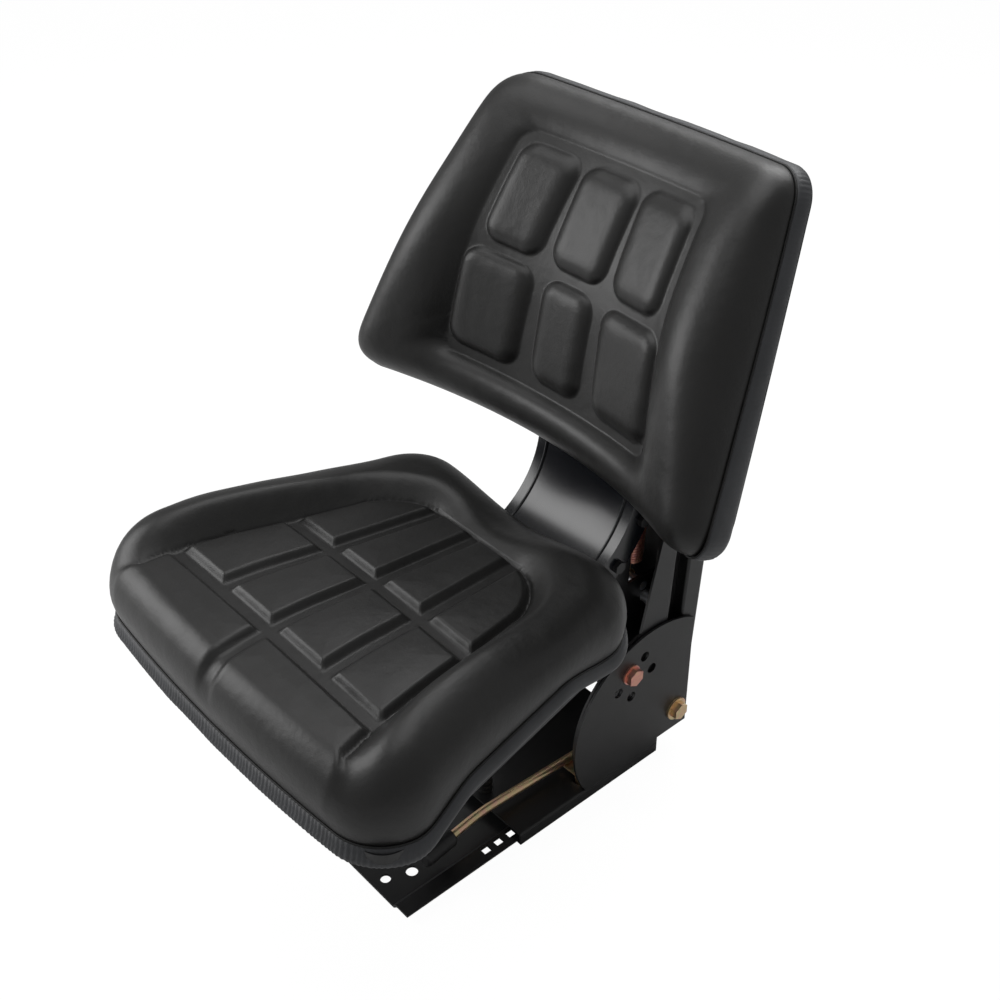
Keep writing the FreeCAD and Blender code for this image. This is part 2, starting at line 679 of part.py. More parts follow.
# Column: one folded sheet with an open front, pressed tracks and the two tilt cheeks
def make_column():
    body = new_body("Column")
    inner = "column_half - steel"
    rear = "column_rear - steel"
    flat = [("column_half", "cheek_front - 2 * steel"), ("column_half", "column_rear")]
    flat_in = [(inner, rear), (inner, "cheek_front - 2 * steel")]
    track = [("column_half", "cheek_front - 2 * steel"), ("column_half", "track_front + steel"),
             ("column_half - track_deep", "track_front + steel"), ("column_half - track_deep",
                                                                   "track_rear - steel"),
             ("column_half", "track_rear - steel"), ("column_half", "column_rear")]
    track_in = [(inner, rear), (inner, "track_rear"), (inner + " - track_deep", "track_rear"),
                (inner + " - track_deep", "track_front"), (inner, "track_front"), (inner,
                                                                                   "cheek_front - 2 * steel")]

    def section(outside, inside):
        left = [("-(%s)" % x, y) for x, y in reversed(outside)]
        left_in = [("-(%s)" % x, y) for x, y in reversed(inside)]
        whole = outside + left + left_in + inside
        radii = {}
        for i, (x, y) in enumerate(whole):
            at_side = abs(abs(value(x)) - value("column_half")) < 0.01
            if at_side and y == "column_rear":
                radii[i] = "column_bend"
            elif abs(abs(value(x)) - value(inner)) < 0.01 and y == rear:
                radii[i] = "column_bend - steel"
            elif at_side and y in ("track_front + steel", "track_rear - steel"):
                radii[i] = "track_bend"
        return with_bends(whole, radii)

    low = outline(new_sketch(body, "XY", "column_low"), *section(flat, flat_in))
    pad(body, low, "track_start - column_low")
    high = outline(new_sketch(body, "XY", "track_start"), *section(track, track_in))
    pad(body, high, "column_top - track_start")
    wide = "2 * column_half + 2 * steel"
    start = "-column_half - steel"
    meet_z = "cheek_centre_z + sqrt(cheek_arc ^ 2 - (cheek_centre_y - taper_low_y) ^ 2)"
    low_y = "cheek_centre_y - sqrt(cheek_arc ^ 2 - (cheek_centre_z - cheek_front_low) ^ 2)"
    far = "cheek_front - 4 * steel"
    shape = new_sketch(body, "YZ", start)
    outline(shape, [(far, "column_low - steel"), ("cheek_step_y", "column_low - steel"),
                    ("cheek_step_y", "column_low"), (low_y, "cheek_front_low"), ("taper_low_y", meet_z),
                    ("taper_top_y", "column_top"), ("taper_top_y", "column_top + steel"), (far,
                                                                                           "column_top + steel")],
            {3: "-cheek_arc"})
    pocket(body, shape, wide)
    inner_hole = polar("lock_inner_circle", "lock_angle + lock_step_angle + lean_angle")
    holes = new_sketch(body, "YZ", start)
    circles(holes, [("pivot_y", "pivot_z", "bolt_r + run_fit"), inner_hole + ("index_hole_r",)])
    pocket(body, holes, wide)
    slot = new_sketch(body, "YZ", start)
    reach, wall = "(lock_step_angle + 3.2)", "(bolt_r + gap)"
    corners = [polar("(lock_circle %s %s)" % (sign, wall), "lock_angle + lean_angle %s %s" % (turn, reach))
               for sign, turn in (("+", "-"), ("+", "+"), ("-", "+"), ("-", "-"))]
    outline(slot, corners, {0: "lock_circle + " + wall, 2: "-(lock_circle - %s)" % wall})
    pocket(body, slot, wide)
    node("column", body, COLUMN)


def make_column_foot():
    inner = "column_half - steel"
    floor = block("FootPlate", ("2 * (%s)" % inner, "column_rear - column_bend - foot_front", "steel"),
                  ("-(%s)" % inner, "foot_front", "foot_z"))
    ear_x = "damper_eye_wide / 2 + gap"
    ear_size = ("steel", "2 * damper_eye_r", "damper_pin_z + damper_pin_r + steel - foot_z")
    ears = [block("FootEarR", ear_size, (ear_x, "damper_y - damper_eye_r", "foot_z")),
            block("FootEarL", ear_size, ("-(%s) - steel" % ear_x, "damper_y - damper_eye_r", "foot_z"))]
    hole = rod("FootPinHole", "damper_pin_r + run_fit", "4 * damper_eye_wide",
               ("-2 * damper_eye_wide", "damper_y", "damper_pin_z"), "X")
    node("column_foot", cut("ColumnFoot", joined("FootBlank", [floor] + ears), hole), COLUMN)
    pin = rod("DamperPin", "damper_pin_r", "damper_eye_wide + 4 * steel",
              ("-(damper_eye_wide + 4 * steel) / 2", "damper_y", "damper_pin_z"), "X")
    node("damper_pin", joined("DamperPinGroup", [pin, rod("DamperPinHead", "1.5 * damper_pin_r", "steel",
         ("damper_eye_wide / 2 + 2 * steel", "damper_y", "damper_pin_z"), "X")]), COLUMN)


def make_bridge():
    body = new_body("TopBridge")
    inner = "column_half - steel"
    right = [(inner, "column_top"), (inner, "column_top - bridge_drop"),
             (inner + " - steel", "column_top - bridge_drop"), (inner + " - steel", "column_top - steel")]
    left = [("-(%s)" % x, z) for x, z in reversed(right)]
    pad(body, outline(new_sketch(body, "XZ", "bridge_front"), right + left), "track_front - bridge_front")
    shelf = "(%s - track_deep)" % inner
    plate = new_sketch(body, "XY", "column_top - steel")
    outline(plate, [("-" + shelf, "bridge_front"), (shelf, "bridge_front"), (shelf, "column_rear - steel"),
                    ("-" + shelf, "column_rear - steel")])
    pad(body, plate, "steel")
    pocket(body, circles(new_sketch(body, "XY", "column_top - 2 * steel"),
                         [("0", "screw_y", "screw_r + run_fit")]),
           "3 * steel")
    node("top_bridge", body, COLUMN)


def make_stops():
    upper, lower = [], []
    for sign in SIDES:
        side = "L" if sign else "R"
        spot = (sign + "stop_x", "stop_y")
        upper.append(rod("UpperStop" + side, "stop_r", "column_top - steel - side_plate_top - gap",
                         spot + ("side_plate_top + gap",)))
        lower.append(rod("LowerStop" + side, "stop_r", "side_plate_low - travel - gap - foot_z - steel",
                         spot + ("foot_z + steel",)))
    node("upper_stops", group("UpperStops", upper), COLUMN)
    node("lower_stops", group("LowerStops", lower), COLUMN)


def make_springs():
    """Each spring: a ribbed sleeve for the coils, a bar across each end, and a loop round its anchor."""
    radius, wire = value("spring_r"), value("spring_wire")
    low, top, turns = value("spring_low"), value("spring_top"), int(value("spring_turns"))
    pitch = (top - low) / turns
    core = radius - wire
    profile = [Vector(core, 0, low)]
    for i in range(turns):
        base = low + i * pitch
        profile += [Vector(radius - wire / 2, 0, base), Vector(radius, 0, base + pitch / 3),
                    Vector(radius, 0, base + 2 * pitch / 3)]
    profile += [Vector(radius - wire / 2, 0, top), Vector(core, 0, top), Vector(core, 0, low)]
    coil = Part.Face(Part.makePolygon(profile)).revolve(Vector(), Vector(0, 0, 1), 360)
    eye = value("anchor_r") + wire / 2 + 3 * value("gap")
    play = 2 * value("gap")
    pieces = [coil]
    for anchor, end, way in ((value("anchor_z") + play, low, 1), (value("beam_z") - play, top, -1)):
        pieces.append(Part.makeTorus(eye, wire / 2, Vector(0, 0, anchor), Vector(1, 0, 0)))
        loop_end = anchor + way * eye
        stem_end = end + way * wire
        pieces.append(Part.makeCylinder(wire / 2, abs(stem_end - loop_end),
                                        Vector(0, 0, min(stem_end, loop_end))))
        pieces.append(Part.makeBox(2 * core + wire, wire, wire,
                                   Vector(-core - wire / 2, -wire / 2, end if way > 0 else end - wire)))
    whole = pieces[0].multiFuse(pieces[1:])
    for sign, label in (("", "spring_left"), ("-", "spring_right")):
        spring = doc.addObject("Part::Feature", label.title().replace("_", ""))
        spring.Shape = Part.Compound([whole.translated(vector(sign + "spring_x", "anchor_y", "0"))])
        node(label, spring, COLUMN)


def make_adjuster():
    bar = rod("BeamBar", "anchor_r", "2 * beam_reach", ("-beam_reach", "anchor_y", "beam_z"), "X")
    plate = block("BeamPlate", ("2 * beam_half", "screw_y + screw_r + beam_thick - anchor_y", "beam_thick"),
                  ("-beam_half", "anchor_y", "beam_z - beam_thick / 2"))
    bore = rod("BeamBore", "screw_r + run_fit", "3 * beam_thick",
               ("0", "screw_y", "beam_z - 1.5 * beam_thick"))
    node("spring_beam", cut("SpringBeam", joined("BeamBlank", [bar, plate]), bore), COLUMN)
    washer = tube("ThrustWasher", "2 * screw_r", "screw_r + run_fit", "washer_thick",
                  ("0", "screw_y", "column_top"))
    node("thrust_washer", washer, COLUMN)
    knob_z = "column_top + washer_thick + gap"
    screw = rod("ScrewShank", "screw_r", "%s + knob_high / 2 - screw_low" % knob_z,
                ("0", "screw_y", "screw_low"))
    collar = rod("ScrewCollar", "screw_r + steel", "steel", ("0", "screw_y", "column_top - 2 * steel - gap"))
    node("adjuster_screw", joined("AdjusterScrew", [screw, collar]), COLUMN)
    hub = rod("KnobHub", "knob_r", "knob_high", ("0", "screw_y", knob_z))
    flutes = []
    for k in range(8):
        angle = k * 45
        flutes.append(rod("KnobFlute%d" % k, "knob_lobe_r", "knob_high - steel",
                          ("(knob_r + knob_lobe_r / 2) * cos(%d * 1deg)" % angle,
                           "screw_y + (knob_r + knob_lobe_r / 2) * sin(%d * 1deg)" % angle,
                           knob_z + " - gap")))
    well = rod("KnobWell", "screw_r", "knob_high / 2", ("0", "screw_y", knob_z))
    node("adjuster_knob", cut("AdjusterKnob", hub, joined("KnobCuts", flutes + [well])), COLUMN)


def make_damper():
    """Cylinder on the foot's pin, rod on the cross bar."""
    eye = rod("CylinderEye", "damper_eye_r", "damper_eye_wide",
              ("-damper_eye_wide / 2", "damper_y", "damper_pin_z"), "X")
    shell = rod("CylinderShell", "damper_r", "damper_top - damper_low", ("0", "damper_y", "damper_low"))
    chamber = rod("CylinderChamber", "damper_bore", "damper_top - damper_low - 2 * steel",
                  ("0", "damper_y", "damper_low + steel"))
    mouth = rod("CylinderMouth", "damper_rod_r + run_fit", "3 * steel",
                ("0", "damper_y", "damper_top - 2.5 * steel"))
    hole = rod("CylinderEyeHole", "damper_pin_r + run_fit", "2 * damper_eye_wide",
               ("-damper_eye_wide", "damper_y", "damper_pin_z"), "X")
    node("damper_cylinder", cut("DamperCylinder", joined("CylinderBlank", [eye, shell]),
                                joined("CylinderCuts", [chamber, mouth, hole])), COLUMN)
    shaft = rod("RodShaft", "damper_rod_r", "cross_bar_z - piston_z", ("0", "damper_y", "piston_z"))
    piston = rod("RodPiston", "damper_bore - 2 * run_fit", "2 * steel",
                 ("0", "damper_y", "piston_z - steel"))
    head = rod("RodEye", "cross_bar_r + 2 * steel", "damper_eye_wide",
               ("-damper_eye_wide / 2", "cross_bar_y", "cross_bar_z"), "X")
    bush_hole = rod("RodEyeHole", "cross_bar_r + steel", "2 * damper_eye_wide",
                    ("-damper_eye_wide", "cross_bar_y", "cross_bar_z"), "X")
    node("damper_rod", cut("DamperRod", joined("RodBlank", [shaft, piston, head]), bush_hole), COLUMN)
    node("damper_bush", tube("DamperBush", "cross_bar_r + steel", "cross_bar_r + run_fit", "damper_eye_wide",
                             ("-damper_eye_wide / 2", "cross_bar_y", "cross_bar_z"), "X"), COLUMN)


# Roller frame: two plates, the cross bars, axles, rollers and clips
UPPER_Y = "(track_rear + gap + roller_r)"
LOWER_Y = "(track_front - gap - roller_r)"


def bend_spot(angle, circle="frame_bolt_circle"):
    """A place on a circle about the bracket's bend, in the upright frame."""
    return ("bracket_bend_y + %s * cos(%s * 1deg)" % (circle, angle),
            "bracket_foot_z + bracket_arc - %s * sin(%s * 1deg)" % (circle, angle))


def in_column(y, z):
    """An upright place as the leaning column's frame has it."""
    dy, dz, tilt = "((%s) - pivot_y)" % y, "((%s) - pivot_z)" % z, "(lean_angle * 1deg)"
    return ("pivot_y + %s * cos%s - %s * sin%s" % (dy, tilt, dz, tilt),
            "pivot_z + %s * sin%s + %s * cos%s" % (dy, tilt, dz, tilt))


def make_roller_plates():
    low_front = in_column(*bend_spot("(frame_low_angle + 12)", "plate_front_circle"))
    high_front = in_column(*bend_spot("(frame_high_angle - 7)", "plate_front_circle"))
    points = [low_front, high_front, (high_front[0], "side_plate_top"),
              ("side_plate_rear", "side_plate_top"),
              ("side_plate_rear", "side_plate_low"), ("anchor_y - 2 * anchor_r", "side_plate_low"),
              (low_front[0], "anchor_z + 2 * anchor_r")]
    holes = [(UPPER_Y, "roller_top_z", "roller_bore"), (LOWER_Y, "roller_low_z", "roller_bore"),
             ("cross_bar_y", "cross_bar_z", "cross_bar_r"), ("anchor_y", "anchor_z", "anchor_r")]
    holes += [in_column(*bend_spot(angle)) + ("small_bolt_r + run_fit",) for angle in
              ("frame_high_angle", "frame_low_angle")]
    bevel = "2 * cross_bar_r"
    window = [("plate_window_front", "plate_window_low"), ("plate_window_rear", "plate_window_low"),
              ("plate_window_rear", "plate_window_top - %s" % bevel),
              ("plate_window_rear - anchor_r", "plate_window_top"),
              ("plate_window_front + %s" % bevel, "plate_window_top"),
              ("plate_window_front", "plate_window_top - %s" % bevel)]
    for sign, label in (("", "roller_plate_left"), ("-", "roller_plate_right")):
        body = new_body(label.title().replace("_", ""))
        start = "side_plate_x - side_plate_thick" if sign == "" else "-side_plate_x"
        sketch = circles(outline(new_sketch(body, "YZ", start), points, {0: "plate_front_circle"}), holes)
        outline(sketch, window)
        pad(body, sketch, "side_plate_thick")
        tab_x = ("side_plate_x - tab_wide", "side_plate_x") if sign == "" else ("-side_plate_x",
                                                                                "-side_plate_x + tab_wide")
        for z in ("side_plate_low", "side_plate_top - side_plate_thick"):
            tab = new_sketch(body, "XY", z)
            near, far = "stop_y - stop_r", "stop_y + stop_r"
            outline(tab, [(tab_x[0], near), (tab_x[1], near), (tab_x[1], far), (tab_x[0], far)])
            pad(body, tab, "side_plate_thick")
        node(label, body, COLUMN)


def make_bars():
    reach = "2 * side_plate_x"
    node("cross_bar", group("CrossBar", [rod("CrossBarRod", "cross_bar_r", reach,
         ("-side_plate_x", "cross_bar_y", "cross_bar_z"), "X")]), COLUMN)
    node("anchor_bar", group("AnchorBar", [rod("AnchorBarRod", "anchor_r", reach,
         ("-side_plate_x", "anchor_y", "anchor_z"), "X")]), COLUMN)


def make_rollers():
    axles, clips = [], []
    places = {"upper": (UPPER_Y, "roller_top_z"), "lower": (LOWER_Y, "roller_low_z")}
    for sign, out in SIDES.items():
        side = "right" if sign else "left"
        for level, (y, z) in places.items():
            tag = (level + "_" + side).title().replace("_", "")
            start = "side_plate_x - side_plate_thick"
            end = "column_half - steel - 2 * gap"
            axles.append(rod("Axle" + tag, "roller_bore", "%s - (%s)" % (end, start),
                             (sign + "(%s)" % start, y, z), out))
            clips.append(tube("Clip" + tag, "clip_r - steel / 2", "roller_bore", "clip_thick / 2",
                              (sign + "(roller_inner_x + roller_wide + gap / 2)", y, z), out))
            clips.append(tube("Spacer" + tag, "clip_r", "roller_bore", "roller_inner_x - side_plate_x - gap",
                              (sign + "side_plate_x", y, z), out))
            roller = tube("Roller" + tag, "roller_r", "roller_bore + run_fit", "roller_wide",
                          (sign + "roller_inner_x", y, z), out)
            node("roller_%s_%s" % (level, side), roller, COLUMN)
    node("roller_axles", group("RollerAxles", axles), COLUMN)
    node("axle_clips", group("AxleClips", clips), COLUMN)


# Curved bracket that carries the seat and the backrest
def make_bracket():
    body = new_body("Bracket")
    top, thick = "bracket_foot_z", "bracket_thick"
    centre_z = "(bracket_foot_z + bracket_arc)"
    rise_y = "(bracket_bend_y + bracket_arc)"
    knee_z = "(bracket_foot_z + bracket_arc + bracket_straight)"
    lean = "(back_angle * 1deg)"
    knee_y = "(%s + bracket_knee * (1 - cos%s))" % (rise_y, lean)
    knee_end = "(%s + bracket_knee * sin%s)" % (knee_z, lean)
    tip = ("%s + bracket_upper * sin%s" % (knee_y, lean), "%s + bracket_upper * cos%s" % (knee_end, lean))
    behind = ("%s * cos%s" % (thick, lean), "%s * sin%s" % (thick, lean))
    points = [("-bracket_front", top), ("-bracket_front", "%s - %s" % (top, thick)),
              ("bracket_bend_y", "%s - %s" % (top, thick)), ("%s + %s" % (rise_y, thick), centre_z),
              ("%s + %s" % (rise_y, thick), knee_z),
              ("%s + %s" % (knee_y, behind[0]), "%s - %s" % (knee_end, behind[1])),
              ("%s + %s" % (tip[0], behind[0]), "%s - %s" % (tip[1], behind[1])), tip,
              (knee_y, knee_end), (rise_y, knee_z), (rise_y, centre_z), ("bracket_bend_y", top)]
    sketch = outline(new_sketch(body, "YZ", "-bracket_half"), points,
                     {2: "bracket_arc + bracket_thick", 4: "-(bracket_knee - bracket_thick)",
                      8: "bracket_knee",
                      10: "-bracket_arc"})
    pad(body, sketch, "2 * bracket_half")
    outer = "bracket_thick + bracket_flange"
    flange = [("0", "%s - %s" % (top, thick)), ("bracket_bend_y", "%s - (%s)" % (top, outer)),
              ("%s + %s" % (rise_y, outer), centre_z), ("%s + %s" % (rise_y, thick), knee_z),
              ("%s + %s" % (rise_y, thick + " / 2"), knee_z), ("%s + %s" % (rise_y, thick + " / 2"),
                                                               centre_z),
              ("bracket_bend_y", "%s - %s / 2" % (top, thick)), ("0", "%s - %s / 2" % (top, thick))]
    for start in ("bracket_half - steel", "-bracket_half"):
        side = outline(new_sketch(body, "YZ", start), flange,
                       {1: "bracket_arc + " + outer, 5: "-(bracket_arc + bracket_thick / 2)"})
        pad(body, side, "steel")
    spots = [bend_spot(angle) + ("small_bolt_r + run_fit",) for angle in ("frame_high_angle",
                                                                          "frame_low_angle")]
    pocket(body, circles(new_sketch(body, "YZ", "-bracket_half - steel"), spots),
           "2 * bracket_half + 2 * steel")
    holes = circles(new_sketch(body, "XY", "bracket_foot_z - 2 * bracket_thick"),
                    [(sx + "seat_bolt_x", y, "small_bolt_r + run_fit") for sx in SIDES
                     for y in ("-seat_bolt_front", "seat_bolt_rear")])
    pocket(body, holes, "3 * bracket_thick")
    blank = body
    drills = []
    for i, (sx, z) in enumerate((s, z) for s in SIDES for z in ("back_bolt_low", "back_bolt_high")):
        drills.append(rod("BackDrill%d" % i, "small_bolt_r + run_fit", "back_thick",
                          (sx + "back_bolt_x", "0", z), "Y"))
    drill_group = group("BackDrills", drills)
    drill_group.Placement = BACK
    node("back_bracket", cut("BackBracket", blank, drill_group))


def make_frame_bolts():
    bolts, nuts = [], []
    inner = "side_plate_x - side_plate_thick"
    for i, (sign, angle) in enumerate((s, a) for s in SIDES for a in ("frame_high_angle",
                                                                      "frame_low_angle")):
        y, z = bend_spot(angle)
        end = sign + "(%s - nut_high)" % inner
        shank = rod("FrameShank%d" % i, "small_bolt_r", "bracket_half - (%s) + nut_high" % inner,
                    (end, y, z), SIDES[sign])
        head = hexagon("FrameHead%d" % i, "small_head_across", "small_head_high",
                       (sign + "bracket_half", y, z), SIDES[sign])
        bolts.append(joined("FrameBolt%d" % i, [shank, head]))
        spot = (sign + "(%s - small_bolt_r * 1.7)" % inner, y, z)
        nuts.append(cut("FrameNut%d" % i, hexagon("FrameNutHex%d" % i, "small_head_across",
                                                  "small_bolt_r * 1.7", spot,
                                                  SIDES[sign]),
                        rod("FrameNutBore%d" % i, "small_bolt_r + run_fit", "small_bolt_r * 1.7", spot,
                            SIDES[sign])))
    node("frame_bolts", group("FrameBolts", bolts))
    node("frame_nuts", group("FrameNuts", nuts))


# Cushions: lofts through cross-sections, each a curve over the top closed along its base
SEAT_SECTIONS = [
    # share of length from the front, width, bolster height, middle height
    (0.0, 0.57, 0.12, 0.16), (0.005, 0.753, 0.24, 0.36), (0.018, 0.858, 0.36, 0.55), (0.038, 0.93, 0.465,
                                                                                      0.68),
    (0.074, 0.985, 0.59, 0.737), (0.132, 1.0, 0.815, 0.761), (0.206, 1.0, 0.951, 0.757), (0.27, 1.0, 1.0,
                                                                                          0.747),
    (0.466, 1.0, 0.932, 0.669), (0.644, 1.0, 0.795, 0.61), (0.766, 0.997, 0.688, 0.59), (0.863, 0.98, 0.63,
                                                                                         0.62),
    (0.924, 0.93, 0.6, 0.62), (0.964, 0.865, 0.5, 0.54), (0.99, 0.75, 0.3, 0.34), (1.0, 0.6, 0.13, 0.16),
]
BACK_SECTIONS = [
    # share of height from the bottom, width, thickness in the middle, share of the bolsters' rise
    (0.0, 0.83, 0.46, 0.0), (0.012, 0.907, 0.53, 0.2), (0.043, 0.969, 0.61, 0.4), (0.09, 1.0, 0.67, 0.7),
    (0.176, 1.0, 0.755, 1.0), (0.32, 1.0, 0.885, 1.0), (0.475, 1.0, 0.985, 1.0), (0.583, 1.0, 1.0, 1.0),
    (0.69, 1.0, 0.955, 1.0), (0.824, 1.0, 0.895, 1.0), (0.907, 1.0, 0.83, 0.8), (0.954, 0.95, 0.71, 0.5),
    (0.985, 0.85, 0.54, 0.2), (1.0, 0.74, 0.38, 0.0),
]


def mirrored_curve(half):
    """A curve through the points of the right half and their mirror images."""
    points = [Vector(-p.x, p.y, p.z) for p in half] + [p for p in reversed(half) if p.x > 1e-6]
    curve = Part.BSplineCurve()
    curve.interpolate(points)
    return curve.toShape()


def between(near, far, share):
    return near + (far - near) * share


def seat_loft(sink):
    """The cushion over the trim, its top lowered by sink."""
    front, rear = -value("seat_front"), value("seat_rear")
    nose = front - value("seat_half_front") ** 2 / 2 / value("seat_bow")
    base = value("pan_low + pan_high + gap")
    tall, bolster = value("seat_crown"), value("seat_bolster")
    wires = []
    for share, wide, crest, middle in SEAT_SECTIONS:
        y = between(nose, rear, share)
        side = between(value("seat_half_front"), value("seat_half_rear"), (y - front) / (rear - front))
        half = side * wide
        panel = value("seat_panel_half") * side / between(value("seat_half_front"),
                                                          value("seat_half_rear"), 0.5)
        panel = min(panel, 0.72 * half)
        high, low = base + tall * crest - sink, base + tall * middle - sink
        corner = min(1.0, crest * 1.6)
        points = [Vector(half - bolster * 0.06, y, base),
                  Vector(half, y, between(base, high, 0.2)),
                  Vector(half - bolster * 0.06, y, between(base, high, 0.55)),
                  Vector(half - bolster * 0.38 * corner, y, between(base, high, 0.87)),
                  Vector(half - bolster * corner, y, high),
                  Vector(half - bolster * 1.8 * corner, y, between(high, low, 0.3)),
                  Vector(panel, y, between(high, low, 0.88)),
                  Vector(panel / 2, y, low),
                  Vector(0, y, low)]
        top = mirrored_curve(points)
        wires.append(Part.Wire([top, Part.LineSegment(points[0], Vector(-points[0].x, y, base)).toShape()]))
    return Part.makeLoft(wires, True, True)


def back_loft(sink):
    """The backrest's upholstery in front of its trim, its face lowered by sink."""
    low_edge, top_edge = value("back_low"), value("back_top")
    thick, bolster = value("back_thick"), value("back_bolster")
    arc, seam = value("back_arc"), value("back_pan_sheet + back_trim_deep + gap")

    def spot(x, deep, z):
        return Vector(x, math.sqrt((arc - deep) ** 2 - x ** 2) - arc, z)

    wires = []
    for share, wide, middle, rise in BACK_SECTIONS:
        z = between(low_edge, top_edge, share)
        half = between(value("back_half_low"), value("back_half_top"), share) * wide
        panel = between(value("back_panel_half_low"), value("back_panel_half_top"),
                        (z - value("back_panel_low")) / value("back_panel_top - back_panel_low"))
        reach = bolster * between(0.5, 1.0, rise)
        panel = min(panel, half - 2.6 * reach)
        face = thick * middle - sink
        crest = face + value("back_bolster_rise") * rise
        points = [spot(half - reach * 0.05, seam, z),
                  spot(half - reach * 0.12, between(seam, crest, 0.3), z),
                  spot(half - reach * 0.6, between(seam, crest, 0.72), z),
                  spot(half - reach * 1.45, crest, z),
                  spot(half - reach * 2.2, between(crest, face, 0.3), z),
                  spot(panel, between(crest, face, 0.9), z),
                  spot(panel / 2, face, z),
                  spot(0, face, z)]
        rear = Part.Arc(points[0], spot(0, seam, z), Vector(-points[0].x, points[0].y, z)).toShape()
        wires.append(Part.Wire([mirrored_curve(points), rear]))
    return Part.makeLoft(wires, True, True)


def quilted(name, loft, bars):
    """A cushion's loft with grooves where the bars cross its face."""
    grooves = bars[0].multiFuse(bars[1:]).cut(loft(value("groove_deep")))
    cushion = doc.addObject("Part::Feature", name)
    cushion.Shape = loft(0).cut(grooves)
    return cushion


# Seat
def seat_corners(inset):
    rear, front = "seat_rear - (%s)" % inset, "-(seat_front - (%s))" % inset
    return [("seat_half_front - (%s)" % inset, front), ("seat_half_rear - (%s)" % inset, rear),
            ("-(seat_half_rear - (%s))" % inset, rear), ("-(seat_half_front - (%s))" % inset, front)]


def seat_block(name, inset, low, high, corner):
    body = new_body(name)
    sketch = outline(new_sketch(body, "XY", low), seat_corners(inset), {3: "seat_bow - (%s)" % inset})
    pad(body, sketch, "%s - (%s)" % (high, low))
    round_edges(body, corner, upright)
    return body


def seat_grooves():
    """Bars that leave two wide pads in front of two rows of four."""
    front, rear, wide = -value("pad_front"), value("pad_rear"), value("groove_wide")
    low, tall = value("pan_low + pan_high"), value("seat_crown") * 2
    rows = [between(front, rear, 0.155), between(front, rear, 0.57)]
    half = value("seat_panel_half")
    bars = [Part.makeBox(2 * half, wide, tall, Vector(-half, y, low)) for y in rows]
    for column, start in ((-0.5, rows[0]), (0, front), (0.5, rows[0])):
        bars.append(Part.makeBox(wide, rear - start, tall, Vector(half * column - wide / 2, start, low)))
    return bars


def make_seat():
    rim = "pan_low + pan_high"
    pan = seat_block("SeatPanOuter", "pan_inset", "pan_low", rim, "seat_corner")
    hollow = seat_block("SeatPanHollow", "pan_inset + pan_sheet", "pan_low + pan_sheet", rim + " + steel",
                        "seat_corner - pan_sheet")
    bolts = [(sx + "seat_bolt_x", y) for sx in SIDES for y in ("-seat_bolt_front", "seat_bolt_rear")]
    drills = [rod("PanDrill%d" % i, "small_bolt_r + run_fit", "3 * pan_sheet", (x, y, "pan_low - pan_sheet"))
              for i, (x, y) in enumerate(bolts)]
    node("seat_pan", cut("SeatPan", pan, joined("SeatPanCuts", [hollow] + drills)))

    trim = seat_block("SeatTrimOuter", "-trim_thick + pan_inset", "pan_low - steel / 2", rim,
                      "seat_corner + trim_thick")
    trim_inner = seat_block("SeatTrimInner", "pan_inset", "pan_low - steel", rim + " + steel", "seat_corner")
    node("seat_trim", cut("SeatTrim", trim, trim_inner))

    plug = seat_block("CushionPlug", "pan_inset + pan_sheet + gap", "pan_low + pan_sheet + 2 * gap",
                      rim + " + 2 * gap",
                      "seat_corner - pan_sheet")
    node("seat_cushion", joined("SeatCushion", [plug, quilted("SeatCrown", seat_loft, seat_grooves())]))

    isolators, seat_bolts, washers = [], [], []
    under = "bracket_foot_z - bracket_thick"
    for i, (x, y) in enumerate(bolts):
        isolators.append(tube("Isolator%d" % i, "isolator_r", "small_bolt_r + run_fit",
                              "pan_low - bracket_foot_z",
                              (x, y, "bracket_foot_z")))
        shank = rod("SeatShank%d" % i, "small_bolt_r", "pan_low + pan_sheet - (%s) + washer_thick" % under,
                    (x, y, under + " - washer_thick"))
        head = hexagon("SeatHead%d" % i, "small_head_across", "small_head_high",
                       (x, y, under + " - washer_thick"), "-Z")
        seat_bolts.append(joined("SeatBolt%d" % i, [shank, head]))
        washers.append(tube("SeatWasher%d" % i, "2 * small_bolt_r", "small_bolt_r + run_fit", "washer_thick",
                            (x, y, under + " - washer_thick")))
    node("seat_isolators", group("SeatIsolators", isolators))
    node("seat_bolts", group("SeatBolts", seat_bolts))
    node("seat_washers", group("SeatWashers", washers))


# Backrest, in its own frame: X across, Y out of its back, Z up along it
def curved_slab(name, front, rear, low, high):
    """A slab bent round the sitter: front and rear are its distances from the rear face."""
    body = new_body(name)
    reach = "(back_half_low * 1.2)"
    wall = [("-" + reach, "-back_arc + sqrt((back_arc + %s) ^ 2 - %s ^ 2)" % (rear, reach)),
            (reach, "-back_arc + sqrt((back_arc + %s) ^ 2 - %s ^ 2)" % (rear, reach)),
            (reach, "-back_arc + sqrt((back_arc + %s) ^ 2 - %s ^ 2)" % (front, reach)),
            ("-" + reach, "-back_arc + sqrt((back_arc + %s) ^ 2 - %s ^ 2)" % (front, reach))]
    sketch = outline(new_sketch(body, "XY", low), wall,
                     {0: "-(back_arc + %s)" % rear, 2: "back_arc + %s" % front})
    pad(body, sketch, "%s - (%s)" % (high, low))
    return body


def back_prism(name, low, high, half_low, half_top, corner):
    body = new_body(name)
    deep = "3 * back_thick"
    sketch = outline(new_sketch(body, "XZ", "-2 * back_thick"),
                     [(half_low, low), (half_top, high), ("-(%s)" % half_top, high),
                      ("-(%s)" % half_low, low)])
    pad(body, sketch, deep)

    def corner_edge(edge):
        run = edge.Vertexes[-1].Point - edge.Vertexes[0].Point
        return math.hypot(run.x, run.z) < 1e-6
    round_edges(body, corner, corner_edge)
    return body


